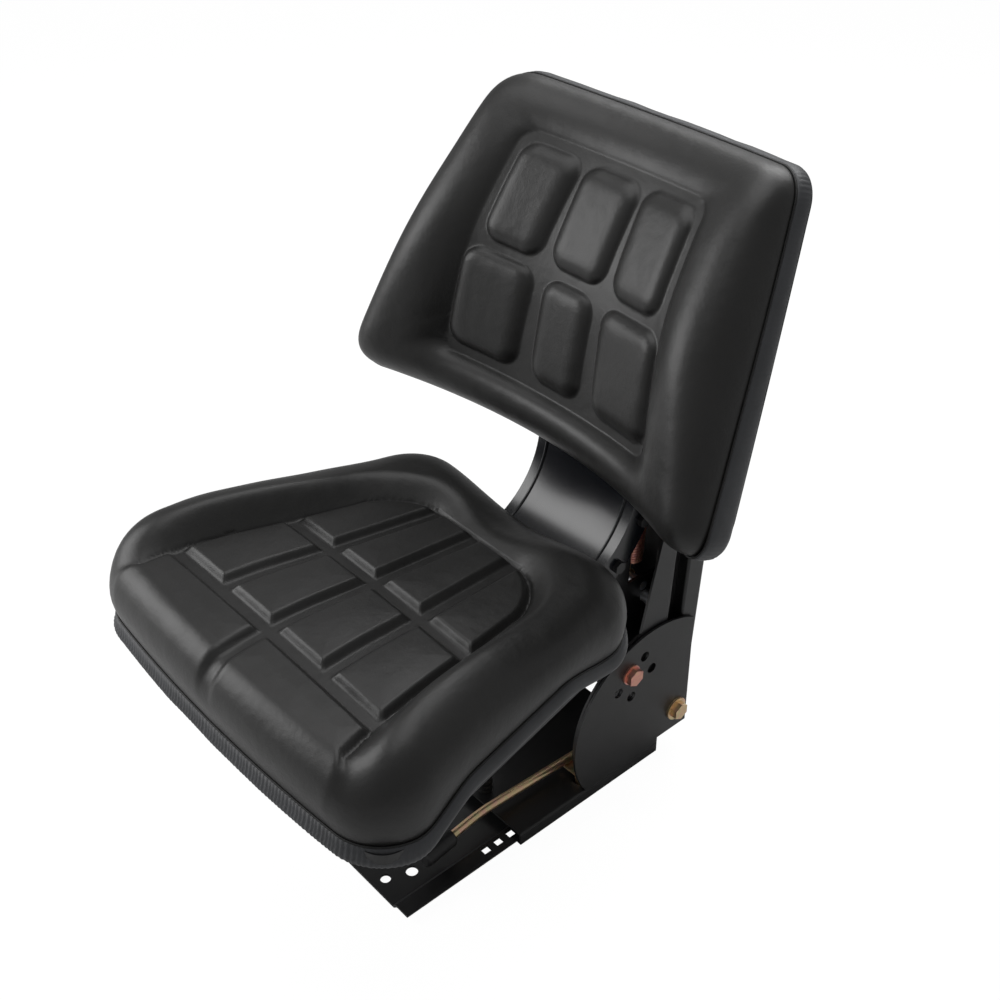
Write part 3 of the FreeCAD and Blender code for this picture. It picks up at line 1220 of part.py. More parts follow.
def back_grooves():
    """Bars that leave two rows of three pads."""
    low, top, wide = value("back_panel_low"), value("back_panel_top"), value("groove_wide")
    half_low, half_top = value("back_panel_half_low"), value("back_panel_half_top")
    deep = value("3 * back_thick")
    middle = between(low, top, 0.5)
    half = between(half_low, half_top, 0.5)
    bars = [Part.makeBox(2 * half, deep, wide, Vector(-half, -deep, middle - wide / 2))]
    for side in (-1, 1):
        bars.append(Part.makeBox(wide, deep, top - low, Vector(side * half / 3 - wide / 2, -deep, low)))
    return bars


def make_back():
    trapezoid = ("back_low", "back_top", "back_half_low", "back_half_top")
    prism = back_prism("BackPanPrism", *trapezoid, "back_corner")
    slab = curved_slab("BackPanSlab", "-back_pan_sheet", "0", "back_low - steel", "back_top + steel")
    drills = []
    spots = [(sx + "back_bolt_x", z) for sx in SIDES for z in ("back_bolt_low", "back_bolt_high")]
    for i, (x, z) in enumerate(spots):
        drills.append(rod("BackPanDrill%d" % i, "small_bolt_r + run_fit", "2 * back_thick",
                          (x, "-back_thick", z), "Y"))
    pan = cut("BackPan", common("BackPanBlank", [slab, prism]), group("BackPanDrills", drills))
    node("back_pan", pan, BACK)

    inset = ("back_low + trim_thick", "back_top - trim_thick", "back_half_low - 1.2 * trim_thick",
             "back_half_top - trim_thick")
    inner_prism = back_prism("BackInnerPrism", *inset, "back_corner - trim_thick")
    trim_slab = curved_slab("BackTrimSlab", "-back_pan_sheet - back_trim_deep", "-back_pan_sheet",
                            "back_low - steel", "back_top + steel")
    outer_prism = back_prism("BackOuterPrism", *trapezoid, "back_corner")
    node("back_trim", cut("BackTrim", common("BackTrimBlank", [trim_slab, outer_prism]), inner_prism), BACK)

    body_slab = curved_slab("CushionRearSlab", "-back_pan_sheet - back_trim_deep - 2 * gap",
                            "-back_pan_sheet - gap",
                            "back_low - steel", "back_top + steel")
    snug = ("back_low + trim_thick + gap", "back_top - trim_thick - gap",
            "back_half_low - 1.2 * (trim_thick + gap)",
            "back_half_top - trim_thick - gap")
    rear_part = common("CushionRear", [body_slab, back_prism("CushionRearPrism", *snug,
                                                             "back_corner - trim_thick")])
    node("back_cushion", joined("BackCushion", [rear_part,
                                                quilted("BackFront", back_loft, back_grooves())]), BACK)

    spacers, back_bolts, washers = [], [], []
    gap_y = back_plate_gap()
    for i, (x, z) in enumerate(spots):
        spacer = tube("BackSpacerBlank%d" % i, "2.4 * small_bolt_r", "small_bolt_r + run_fit",
                      gap_y + " + steel + pan_sheet",
                      (x, "-steel - pan_sheet", z), "Y")
        spacers.append(cut("BackSpacer%d" % i, spacer, curved_slab("SpacerTrim%d" % i, "-back_thick", "0",
                                                                   "back_low - steel", "back_top + steel")))
        washer_y = gap_y + " + bracket_thick"
        shank = rod("BackShank%d" % i, "small_bolt_r", "%s + washer_thick + 2 * steel" % washer_y,
                    (x, "-2 * steel", z), "Y")
        head = hexagon("BackHead%d" % i, "small_head_across", "small_head_high",
                       (x, washer_y + " + washer_thick", z), "Y")
        back_bolts.append(cut("BackBolt%d" % i, joined("BackBoltBlank%d" % i, [shank, head]),
                              curved_slab("BoltTrim%d" % i, "-back_thick", "-back_pan_sheet",
                                          "back_low - steel",
                                          "back_top + steel")))
        washers.append(tube("BackWasher%d" % i, "2 * small_bolt_r", "small_bolt_r + run_fit", "washer_thick",
                            (x, washer_y, z), "Y"))
    node("back_spacers", group("BackSpacers", spacers), BACK)
    node("back_bolts", group("BackBolts", back_bolts), BACK)
    node("back_washers", group("BackWashers", washers), BACK)


def back_plate_gap():
    """Distance from the backrest's rear face to the bracket's upper plate."""
    knee_y = "(bracket_bend_y + bracket_arc + bracket_knee * (1 - cos(back_angle * 1deg)) - back_y)"
    knee_z = "(bracket_foot_z + bracket_arc + bracket_straight + bracket_knee * sin(back_angle * 1deg) - back_z)"
    return "(%s * cos(back_angle * 1deg) - %s * sin(back_angle * 1deg))" % (knee_y, knee_z)


def check_and_write():
    doc.recompute()
    faults = [o.Name for o in doc.Objects if "Invalid" in o.State or "Error" in o.State]
    for label, thing in NODES.items():
        shape = thing.Shape
        if shape.isNull() or not shape.isValid() or not shape.Solids:
            faults.append(label)
    if faults:
        raise RuntimeError("not built: " + ", ".join(faults))
    os.makedirs("parts", exist_ok=True)
    for label, thing in NODES.items():
        thing.Shape.exportStep("parts/%s.step" % label)
    print("%d sub-parts written" % len(NODES))


make_slide_bed()
make_carriage()
make_glide_pads()
make_tilt_fasteners()
make_front_buffers()
make_latch()
make_column()
make_column_foot()
make_bridge()
make_stops()
make_springs()
make_adjuster()
make_damper()
make_roller_plates()
make_bars()
make_rollers()
make_bracket()
make_frame_bolts()
make_seat()
make_back()
check_and_write()
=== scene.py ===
import json
import math

import bpy
import numpy as np
from mathutils import Matrix, Vector


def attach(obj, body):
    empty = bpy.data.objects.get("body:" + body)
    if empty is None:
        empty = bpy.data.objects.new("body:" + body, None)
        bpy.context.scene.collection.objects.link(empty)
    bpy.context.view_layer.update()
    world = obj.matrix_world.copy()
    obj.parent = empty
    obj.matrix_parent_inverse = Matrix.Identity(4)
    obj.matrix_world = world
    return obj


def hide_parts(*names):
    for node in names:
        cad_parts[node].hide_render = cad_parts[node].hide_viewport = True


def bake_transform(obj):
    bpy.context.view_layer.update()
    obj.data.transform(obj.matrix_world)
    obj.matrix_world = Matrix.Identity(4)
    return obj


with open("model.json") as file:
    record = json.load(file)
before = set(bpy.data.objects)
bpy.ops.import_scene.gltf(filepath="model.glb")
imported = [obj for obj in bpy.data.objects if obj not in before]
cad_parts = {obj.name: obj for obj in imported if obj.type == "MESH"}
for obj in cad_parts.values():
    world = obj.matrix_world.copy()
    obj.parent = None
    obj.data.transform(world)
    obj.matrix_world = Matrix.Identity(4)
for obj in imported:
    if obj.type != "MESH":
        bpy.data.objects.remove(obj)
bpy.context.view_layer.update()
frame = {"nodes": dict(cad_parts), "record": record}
print("frame loaded")
mm = 0.001
rng = np.random.default_rng(7)


# Finishes
# colour, second and third are linear; grain and crease are pattern sizes in mm,
# lift and creaseLift are their heights in mm
finishes = {
    "black_vinyl": {"colour": (0.0128, 0.0126, 0.0122), "rough": 0.42, "spread": 0.07, "kind": "leather",
                    "grain": 1.3, "lift": 0.09, "crease": 20.0, "creaseLift": 0.75, "coat": 0.05,
                    "coatRough": 0.4},
    "trim_vinyl": {"colour": (0.054, 0.056, 0.061), "rough": 0.5, "spread": 0.08, "kind": "leather",
                   "grain": 1.6, "lift": 0.07, "crease": 12.0, "creaseLift": 0.3},
    "black_steel": {"colour": (0.006, 0.006, 0.0065), "rough": 0.4, "spread": 0.09, "kind": "paint",
                    "grain": 2.2, "lift": 0.012, "coat": 0.15, "coatRough": 0.3},
    "black_gloss_steel": {"colour": (0.005, 0.006, 0.009), "rough": 0.22, "spread": 0.05, "kind": "paint",
                          "grain": 2.6, "lift": 0.01, "coat": 0.3, "coatRough": 0.16},
    "yellow_zinc": {"colour": (0.86, 0.62, 0.36), "second": (0.9, 0.52, 0.42), "third": (0.7, 0.66, 0.36),
                    "rough": 0.3, "spread": 0.12, "kind": "plated", "grain": 9.0, "lift": 0.01},
    "copper_zinc": {"colour": (0.86, 0.42, 0.33), "second": (0.86, 0.5, 0.34), "third": (0.74, 0.34, 0.32),
                    "rough": 0.33, "spread": 0.12, "kind": "plated", "grain": 6.0, "lift": 0.01},
    "bright_zinc": {"colour": (0.6, 0.61, 0.63), "second": (0.5, 0.52, 0.56), "third": (0.64, 0.63, 0.6),
                    "rough": 0.3, "spread": 0.1, "kind": "plated", "grain": 7.0, "lift": 0.01},
    "black_rubber": {"colour": (0.012, 0.012, 0.012), "rough": 0.62, "spread": 0.1, "kind": "moulded",
                     "grain": 0.9, "lift": 0.03},
    "black_plastic": {"colour": (0.014, 0.014, 0.0145), "rough": 0.42, "spread": 0.08, "kind": "moulded",
                      "grain": 0.7, "lift": 0.02},
    "white_nylon": {"colour": (0.62, 0.61, 0.57), "rough": 0.45, "spread": 0.06, "kind": "moulded",
                    "grain": 1.2, "lift": 0.01},
    "grey_nylon": {"colour": (0.24, 0.24, 0.24), "rough": 0.48, "spread": 0.06, "kind": "moulded",
                   "grain": 1.2, "lift": 0.01},
    "damper_grey": {"colour": (0.045, 0.048, 0.052), "rough": 0.36, "spread": 0.07, "kind": "paint",
                    "grain": 2.0, "lift": 0.01, "coat": 0.2, "coatRough": 0.3},
    # the seam cord is painted shade: a cord darker than the black vinyl, drawing the shaded crease at the
    # seam
    "seamCordPaintedShade": {"colour": (0.004, 0.004, 0.004), "rough": 0.6, "spread": 0.06, "kind": "moulded",
                 "grain": 1.0, "lift": 0.02},
}

# what all finishes share: pattern sizes in mm, how fine they are and how far the shade wanders
surface = {"broad": 70.0, "broadDetail": 4.0, "patch": 26.0, "patchDetail": 5.0, "creaseDetail": 6.0,
           "grainDetail": 2.0, "noiseRough": 0.55, "darker": 0.86, "lighter": 1.16,
           "shadeStops": (0.35, 0.65), "platedStops": (0.3, 0.5, 0.7), "metallic": 0.85, "index": 1.5}


# Adds nodes to one material.
class Wiring:
    def __init__(self, name):
        self.material = bpy.data.materials.new(name)
        self.material.use_nodes = True
        self.nodes = self.material.node_tree.nodes
        self.links = self.material.node_tree.links
        self.shader = self.nodes["Principled BSDF"]

    def add(self, kind, **settings):
        node = self.nodes.new(kind)
        for key, setting in settings.items():
            if hasattr(node, key):
                setattr(node, key, setting)
            else:
                node.inputs[key.replace("_", " ")].default_value = setting
        return node

    def join(self, source, out, target, into):
        self.links.new(source.outputs[out], target.inputs[into])


# A noise pattern of a size in mm.
def noiseOf(w, place, size, detail):
    node = w.add("ShaderNodeTexNoise", Detail=detail, Roughness=surface["noiseRough"])
    node.inputs["Scale"].default_value = 1000.0 / size
    w.join(place, "Object", node, "Vector")
    return node


# A ramp through colours at spots between 0 and 1.
def rampOf(w, spots, colours):
    ramp = w.add("ShaderNodeValToRGB")
    while len(ramp.color_ramp.elements) < len(spots):
        ramp.color_ramp.elements.new(0.5)
    for element, spot, colour in zip(ramp.color_ramp.elements, spots, colours):
        element.position = spot
        element.color = (*colour, 1.0)
    return ramp


# A bump whose height is lift in mm, on top of another one.
def bumpOf(w, height, out, lift, below=None):
    bump = w.add("ShaderNodeBump")
    bump.inputs["Strength"].default_value = 1.0
    bump.inputs["Distance"].default_value = lift * mm
    w.join(height, out, bump, "Height")
    if below is not None:
        w.join(below, "Normal", bump, "Normal")
    return bump


# One material: tint and gloss that wander a little, and a fine relief.
def makeFinish(name, look):
    w = Wiring(name)
    plated = look["kind"] == "plated"
    place = w.add("ShaderNodeTexCoord")
    broad = noiseOf(w, place, look["grain"] if plated else surface["broad"], surface["broadDetail"])
    if plated:
        tint = rampOf(w, surface["platedStops"], [look["third"], look["colour"], look["second"]])
        w.shader.inputs["Metallic"].default_value = surface["metallic"]
    else:
        colour = np.array(look["colour"])
        tint = rampOf(w, surface["shadeStops"], [colour * surface["darker"], colour * surface["lighter"]])
    w.join(broad, "Fac", tint, "Fac")
    w.join(tint, "Color", w.shader, "Base Color")
    shine = w.add("ShaderNodeMapRange")
    shine.inputs["To Min"].default_value = look["rough"] - look["spread"] / 2
    shine.inputs["To Max"].default_value = look["rough"] + look["spread"] / 2
    patch = noiseOf(w, place, surface["patch"], surface["patchDetail"])
    w.join(patch, "Fac", shine, "Value")
    w.join(shine, "Result", w.shader, "Roughness")
    if look["kind"] == "leather":
        pores = w.add("ShaderNodeTexVoronoi", feature="DISTANCE_TO_EDGE")
        pores.inputs["Scale"].default_value = 1000.0 / look["grain"]
        w.join(place, "Object", pores, "Vector")
        folds = noiseOf(w, place, look["crease"], surface["creaseDetail"])
        bump = bumpOf(w, folds, "Fac", look["creaseLift"])
        bump = bumpOf(w, pores, "Distance", look["lift"], bump)
    else:
        speckle = noiseOf(w, place, look["grain"], surface["grainDetail"])
        bump = bumpOf(w, speckle, "Fac", look["lift"])
    w.join(bump, "Normal", w.shader, "Normal")
    if look.get("coat"):
        w.shader.inputs["Coat Weight"].default_value = look["coat"]
        w.shader.inputs["Coat Roughness"].default_value = look["coatRough"]
    w.shader.inputs["IOR"].default_value = surface["index"]
    return w.material


materials = {name: makeFinish(name, look) for name, look in finishes.items()}
slotOf = {part["node"]: part["material_slot"] for part in frame["record"]["subparts"]}
for name, cadPiece in frame["nodes"].items():
    cadPiece.data.materials.clear()
    cadPiece.data.materials.append(materials[slotOf[name]])
print("finishes made:", len(materials))


# Mesh helpers
arcSteps = 24
cordSides = 8


# Eases from 0 to 1 as t runs from 0 to 1.
def smooth(t):
    t = np.clip(t, 0.0, 1.0)
    return t * t * (3 - 2 * t)


# A smooth curve through (place, value) pairs.
def table(at, stops):
    xs, ys = np.array(stops, float).T
    at = np.clip(at, xs[0], xs[-1])
    slopes = np.gradient(ys, xs)
    i = np.clip(np.searchsorted(xs, at) - 1, 0, len(xs) - 2)
    h = xs[i + 1] - xs[i]
    t = (at - xs[i]) / h
    a = (1 + 2 * t) * (1 - t) ** 2
    b = t * (1 - t) ** 2
    c = t * t * (3 - 2 * t)
    d = t * t * (t - 1)
    return a * ys[i] + b * h * slopes[i] + c * ys[i + 1] + d * h * slopes[i + 1]


# A smooth shaded piece that rides on a body, or on none yet.
def makeMesh(name, points, faces, slot, body):
    mesh = bpy.data.meshes.new(name)
    spots = [tuple(p) for p in np.asarray(points) * mm]
    mesh.from_pydata(spots, [], [tuple(int(i) for i in f) for f in faces])
    mesh.validate()
    mesh.polygons.foreach_set("use_smooth", [True] * len(mesh.polygons))
    mesh.materials.append(materials[slot])
    piece = bpy.data.objects.new(name, mesh)
    bpy.context.scene.collection.objects.link(piece)
    if body:
        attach(piece, body)
    return piece


# Quads between neighbouring rings of count points.
def ringFaces(rings, count, closedAlong=False):
    faces = []
    last = rings if closedAlong else rings - 1
    for r in range(last):
        near, far = r * count, ((r + 1) % rings) * count
        for i in range(count):
            j = (i + 1) % count
            faces.append((near + i, near + j, far + j, far + i))
    return faces


# Evenly spaced points along a polygon with rounded corners, and their outward normals.
def roundedOutline(corners, radii, count):
    corners = np.array(corners, float)
    total = len(corners)
    line = []
    for i in range(total):
        here, before, after = corners[i], corners[i - 1], corners[(i + 1) % total]
        a = (before - here) / np.linalg.norm(before - here)
        b = (after - here) / np.linalg.norm(after - here)
        half = math.acos(np.clip(a @ b, -1, 1)) / 2
        reach = radii[i] / math.tan(half)
        centre = here + (a + b) / np.linalg.norm(a + b) * radii[i] / math.sin(half)
        start, stop = here + a * reach - centre, here + b * reach - centre
        sweep = math.pi - 2 * half
        turn = math.copysign(1.0, start[0] * stop[1] - start[1] * stop[0])
        for k in range(arcSteps + 1):
            angle = turn * sweep * k / arcSteps
            line.append(centre + np.array([start[0] * math.cos(angle) - start[1] * math.sin(angle),
                                           start[0] * math.sin(angle) + start[1] * math.cos(angle)]))
    line = np.array(line + [line[0]])
    steps = np.concatenate([[0], np.cumsum(np.linalg.norm(np.diff(line, axis=0), axis=1))])
    at = np.linspace(0, steps[-1], count, endpoint=False)
    points = np.stack([np.interp(at, steps, line[:, k]) for k in (0, 1)], 1)
    ahead = np.roll(points, -2, 0) - np.roll(points, 2, 0)
    ahead /= np.linalg.norm(ahead, axis=1)[:, None]
    normals = np.stack([ahead[:, 1], -ahead[:, 0]], 1)
    if ((points - points.mean(0)) * normals).sum() < 0:
        normals = -normals
    return points, normals


# Distance inside a rounded panel whose half width changes along it; negative outside.
def insideOf(across, along, half, low, high, corner):
    sx = half - np.abs(across)
    sy = np.minimum(along - low, high - along)
    rounded = corner - np.hypot(np.maximum(corner - sx, 0), np.maximum(corner - sy, 0))
    return np.where(np.maximum(corner - sx, corner - sy) > 0, rounded, np.minimum(sx, sy))


# A closed band: section gives (outward, up) for each point of the outline, place turns them into space.
def sweepBand(points, normals, section, place):
    rings = []
    for outward, up in section:
        rings.append(place(points + normals * np.reshape(outward, (-1, 1)), up))
    return np.concatenate(rings), ringFaces(len(section), len(points), closedAlong=True)


# how a rolled edge rounds over, and how far up it the seam pulls it in, in radians
edge = {"round": 1.12, "tuckReach": 0.42, "leanLeast": 0.5}


# Rings from the seam up the rolled edge and in to the middle, as (plan, height) per ring.
# shape gives wallSteps, innerSteps, tuck at the seam, swell of the wall and fullness of the roll.
def cushionGrid(points, normals, centre, roll, height, seamAt, shape):
    wallSteps, innerSteps = shape["wallSteps"], shape["innerSteps"]
    away = points - centre
    reach = np.linalg.norm(away, axis=1)
    lean = np.clip(((away / reach[:, None]) * normals).sum(1), edge["leanLeast"], 1.0)
    plan, level = [], []
    rollShare = roll / (reach * lean)
    crest = centre + away * (1 - rollShare)[:, None]
    top = height(crest[:, 0], crest[:, 1])
    for k in range(wallSteps + 1):
        share = k / wallSteps
        angle = math.pi / 2 * share
        inward = rollShare * (1 - math.cos(angle)) ** edge["round"]
        tuck = shape["tuck"] * (1 - smooth(angle / edge["tuckReach"]))
        swell = shape["swell"] * math.sin(math.pi * share) * (1 - share)
        plan.append(centre + away * (1 - inward - (tuck - swell) / (reach * lean))[:, None])
        level.append(seamAt + (top - seamAt) * math.sin(angle) ** shape["fullness"])
    for k in range(1, innerSteps):
        share = rollShare + (1 - rollShare) * k / innerSteps
        ring = centre + away * (1 - share)[:, None]
        plan.append(ring)
        level.append(height(ring[:, 0], ring[:, 1]))
    return plan, level


# Softens the rings outside the panel, and not at the seam.
def relaxed(rings, plan, inside, passes):
    softFrom, softRings, rate = 8.0, 5, 0.6
    ease = np.array([smooth(-inside(p[:, 0], p[:, 1]) / softFrom) * min(1.0, k / softRings)
                     for k, p in enumerate(plan)])
    grid = np.array(rings)
    for _ in range(passes):
        around = np.roll(grid, 1, 1) + np.roll(grid, -1, 1)
        across = np.concatenate([grid[:1], grid[:-1]]) + np.concatenate([grid[1:], grid[-1:]])
        grid += ((around + across) / 4 - grid) * ease[..., None] * rate
    return list(grid)


# A piece from its rings, closed at both ends, with the faces turned outward.
def closedCushion(name, rings, lowMiddle, topMiddle, outward):
    count = len(rings[0])
    faces = ringFaces(len(rings), count)
    first = len(rings) * count
    topRing = first - count
    for i in range(count):
        j = (i + 1) % count
        faces.append((first, j, i))
        faces.append((first + 1, topRing + i, topRing + j))
    cushion = makeMesh(name, np.vstack(rings + [lowMiddle, topMiddle]), faces, "black_vinyl", None)
    if cushion.data.polygons[len(cushion.data.polygons) // 2].normal.dot(Vector(outward)) < 0:
        cushion.data.flip_normals()
    return cushion


# Seat cushion
# lengths in mm; crest and middle are heights of the edge and of the middle along y, as shares of tall
seatCushion = {
    "front": -306.0, "rear": 72.0, "halfFront": 247.0, "halfRear": 171.0, "centre": (0.0, -120.0),
    "grow": 0.5, "bow": 14.8, "bowFrom": -180, "bowReach": 120, "sideSharp": 1.3,
    "cornerFront": 52.0, "cornerRear": 64.0,
    "seam": 306.0, "sideArch": 23.0, "tall": 103.0, "base": 305.3,
    "archFrom": -268.0, "archRise": 80.0, "archTo": 34.0, "archFall": 100.0,
    "rollSide": 42.0, "rollFront": 26.0, "rollRear": 34.0,
    "wallSteps": 16, "innerSteps": 105, "tuck": 1.2, "swell": 12.0, "fullness": 0.92, "passes": 14,
    "saddle": 0.19, "saddleHalf": 105, "saddleFrom": -20, "saddleReach": 60,
    "fieldFront": -303.0, "fieldPast": 60, "fieldRear": 5.0, "fieldCorner": 62.0, "fieldTaper": 0.2,
    "fieldHalf": 177.0, "margin": 1.0, "sideGroove": 0.5,
    "rows": [-249.0, -128.5], "grooveHalf": 5.0, "grooveEdge": 8.0, "grooveDeep": 8.0,
    "crown": 3.0, "fieldStep": 5.0, "slopeLeast": 18.0, "slopeRound": 0.55, "padDome": 1.2, "padReach": 30.0,
    "frontFall": 3.0, "frontReach": 16.0, "underInset": 14, "underStep": 6, "underDrop": 8, "seamDrop": 3,
    "crest": [(-330, 0.56), (-292, 0.70), (-268, 0.86), (-240, 0.96), (-212, 1.0), (-140, 0.94), (-70, 0.81),
              (-20, 0.745), (20, 0.715), (50, 0.70), (80, 0.69)],
    "middle": [(-330, 0.70), (-305, 0.72), (-268, 0.755), (-240, 0.757), (-212, 0.747), (-140, 0.675),
               (-70, 0.61), (-20, 0.565), (16, 0.53), (45, 0.49), (80, 0.47)],
}


# Half the seat's width at y.
def seatHalf(y):
    c = seatCushion
    return c["halfFront"] + (c["halfRear"] - c["halfFront"]) * (y - c["front"]) / (c["rear"] - c["front"])


# The seat's outline from above, grown by offset, with its bowed front.
def seatOutline(offset, count):
    c = seatCushion
    front, rear = c["front"] - offset, c["rear"] + offset
    halfFront, halfRear = c["halfFront"] + offset, c["halfRear"] + offset
    corners = [(halfFront, front), (halfRear, rear), (-halfRear, rear), (-halfFront, front)]
    cornerFront, cornerRear = c["cornerFront"] + offset, c["cornerRear"] + offset
    points, normals = roundedOutline(corners, [cornerFront, cornerRear, cornerRear, cornerFront], count)
    across = np.maximum(0, 1 - (points[:, 0] / c["halfFront"]) ** 2)
    points[:, 1] -= c["bow"] * (across * smooth((c["bowFrom"] - points[:, 1]) / c["bowReach"]))
    return points, normals


# How far the edge rises along the sides.
def seatArch(y):
    c = seatCushion
    rising = smooth((y - c["archFrom"]) / c["archRise"])
    return c["sideArch"] * rising * smooth((c["archTo"] - y) / c["archFall"])


# How much of that rise an edge point takes: none at the front and rear, all of it at the sides.
def archShare(normals):
    return smooth(normals[:, 0] ** 2 * seatCushion["sideSharp"])


# Half the quilted field's width at y.
def fieldWidth(y):
    return seatCushion["fieldHalf"] - seatCushion["fieldTaper"] * (y - seatCushion["fieldFront"])


# Distance inside the quilted field.
def fieldInside(x, y):
    c = seatCushion
    return insideOf(x, y, fieldWidth(y), c["fieldFront"] - c["fieldPast"], c["fieldRear"], c["fieldCorner"])


# The height of the seat's top face.
def seatHeight(x, y):
    c = seatCushion
    field = fieldWidth(y)
    inside = fieldInside(x, y)
    narrow = 1 - smooth(np.abs(x) / c["saddleHalf"])
    saddle = c["saddle"] * narrow * smooth((y - c["saddleFrom"]) / c["saddleReach"])
    crest = c["base"] + c["tall"] * (table(y, c["crest"]) - saddle)
    middle = c["base"] + c["tall"] * table(y, c["middle"]) + c["crown"] * (1 - (x / field) ** 2).clip(0, 1)
    room = np.maximum(seatHalf(y) - c["rollSide"] - field, c["slopeLeast"])
    out = np.clip(-inside / room, 0, 1)
    slope = (1 - (1 - out) ** 2) * c["slopeRound"] + smooth(out) * (1 - c["slopeRound"])
    top = middle - c["fieldStep"] + (crest - middle + c["fieldStep"]) * slope
    cell = np.minimum.reduce([np.abs(y - row) for row in c["rows"]] + [np.abs(x)])
    side = np.abs(np.abs(x) - field * c["sideGroove"])
    cell = np.where(y > c["rows"][0], np.minimum(cell, side), cell)
    frontEdge = y - c["fieldFront"] - c["margin"]
    gap = np.minimum.reduce([cell - c["grooveHalf"], inside - c["margin"], frontEdge])
    pads = c["grooveDeep"] * smooth(gap / c["grooveEdge"]) + c["padDome"] * smooth(gap / c["padReach"])
    fall = c["frontFall"] * np.clip(-frontEdge / c["frontReach"], 0, 1)
    return np.where(inside > 0, middle - c["grooveDeep"] + pads, top) - fall


# Points of the plan at a height.
def placeSeat(plan, up):
    return np.column_stack([plan, np.broadcast_to(up, len(plan))])


outlineCount = 440
nearAxis = 0.01
seatPoints, seatNormals = seatOutline(seatCushion["grow"], outlineCount)
sideways = seatNormals[:, 0] ** 2
seatRoll = seatCushion["rollSide"] * sideways + (1 - sideways) * np.where(
    seatNormals[:, 1] < 0, seatCushion["rollFront"], seatCushion["rollRear"])
seatSeam = seatCushion["seam"] + seatArch(seatPoints[:, 1]) * archShare(seatNormals)
seatMiddle = np.array(seatCushion["centre"])
seatPlan, seatLevel = cushionGrid(seatPoints, seatNormals, seatMiddle, seatRoll, seatHeight, seatSeam,
                                  seatCushion)
rings = [placeSeat(p, z) for p, z in zip(seatPlan, seatLevel)]
rings = relaxed(rings, seatPlan, fieldInside, seatCushion["passes"])
inner = seatPoints - seatNormals * seatCushion["underInset"]
outer = inner + seatNormals * seatCushion["underStep"]
underLevel = seatCushion["base"] - seatCushion["underDrop"]
rings = [placeSeat(inner, underLevel), placeSeat(outer, seatSeam - seatCushion["seamDrop"])] + rings
seatTop = seatHeight(np.array([nearAxis]), seatMiddle[1:])
cushion = closedCushion("seatCushion", rings, placeSeat([seatMiddle], underLevel),
                        placeSeat([seatMiddle], seatTop), (0, 0, 1))
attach(cushion, "seat")
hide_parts("seat_cushion")
print("seat cushion made")


# Seat trim
# profile rows: share of thick outward, share of the wander, share of the crimps, mm up,
# share of the wander up
seatTrim = {
    "tall": 17.5, "droop": 5.0, "thick": 6.2, "crimp": 4.96, "crimpLift": 0.6, "cord": 1.2,
    "seamAbove": 1.3, "crimpFrom": -235, "crimpReach": 40, "inside": -3.0, "topShare": 0.4, "topLift": 0.2,
    "profile": [(0.35, 1, 0, -0.4, 0.3), (0.85, 1, 0.6, 2.2, 0), (1.0, 1, 1, 5.5, 0), (0.97, 1, 1, 9.0, 0),
                (0.72, 1, 0.7, 12.0, 0)],
    "seamOut": 0.6, "seamUp": 0.9, "grow": 0.0,
    "raggedCount": 240, "ragged": 1.2, "softCount": 60, "soft": 0.5,
}


# The distance run along a closed outline.
def runAlong(points):
    return np.cumsum(np.linalg.norm(np.diff(points, axis=0, append=points[:1]), axis=1))


# Random values that wander between -size and size along a line.
def wander(along, count, size):
    return np.interp(along, np.linspace(0, along[-1], count), rng.uniform(-size, size, count))


bandCount = 1100
trimPoints, trimNormals = seatOutline(seatTrim["grow"], bandCount)
flare = smooth((seatTrim["crimpFrom"] - trimPoints[:, 1]) / seatTrim["crimpReach"])
highEdge = seatCushion["seam"] + seatTrim["seamAbove"] + seatArch(trimPoints[:, 1]) * archShare(trimNormals)
lowEdge = highEdge - seatTrim["tall"] - seatTrim["droop"] * flare
along = runAlong(trimPoints)
ragged = wander(along, seatTrim["raggedCount"], seatTrim["ragged"])
crimps = np.sin(2 * math.pi * along / seatTrim["crimp"] + ragged) * flare * seatTrim["crimpLift"]
soft = wander(along, seatTrim["softCount"], seatTrim["soft"])
section = [(seatTrim["inside"], lowEdge)]
for share, wave, crimp, up, waveUp in seatTrim["profile"]:
    outward = seatTrim["thick"] * share + soft * wave + crimps * crimp
    section.append((outward, lowEdge + up + soft * waveUp))
section.append((seatTrim["thick"] * seatTrim["topShare"] + crimps * seatTrim["topShare"], highEdge))
section.append((seatTrim["inside"], highEdge + seatTrim["topLift"]))
bandPoints, bandFaces = sweepBand(trimPoints, trimNormals, section, placeSeat)
band = makeMesh("seatTrim", bandPoints, bandFaces, "trim_vinyl", "seat")
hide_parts("seat_trim")


# A thin closed cord round a line of points.
def cordAlong(name, centres, outward, upward, size, slot, body):
    rings = []
    for k in range(cordSides):
        angle = 2 * math.pi * k / cordSides
        rings.append(centres + outward * (size * math.cos(angle)) + upward * (size * math.sin(angle)))
    faces = ringFaces(cordSides, len(centres), closedAlong=True)
    return makeMesh(name, np.concatenate(rings), faces, slot, body)


# the seat's seam cord is painted shade of the crease between trim and cushion
seamLine = placeSeat(trimPoints + trimNormals * seatTrim["seamOut"], highEdge + seatTrim["seamUp"])
cordAlong("seatSeam", seamLine, placeSeat(trimNormals, 0.0), np.array([0.0, 0.0, 1.0]), seatTrim["cord"],
          "seamCordPaintedShade", "seat")
print("seat trim made")


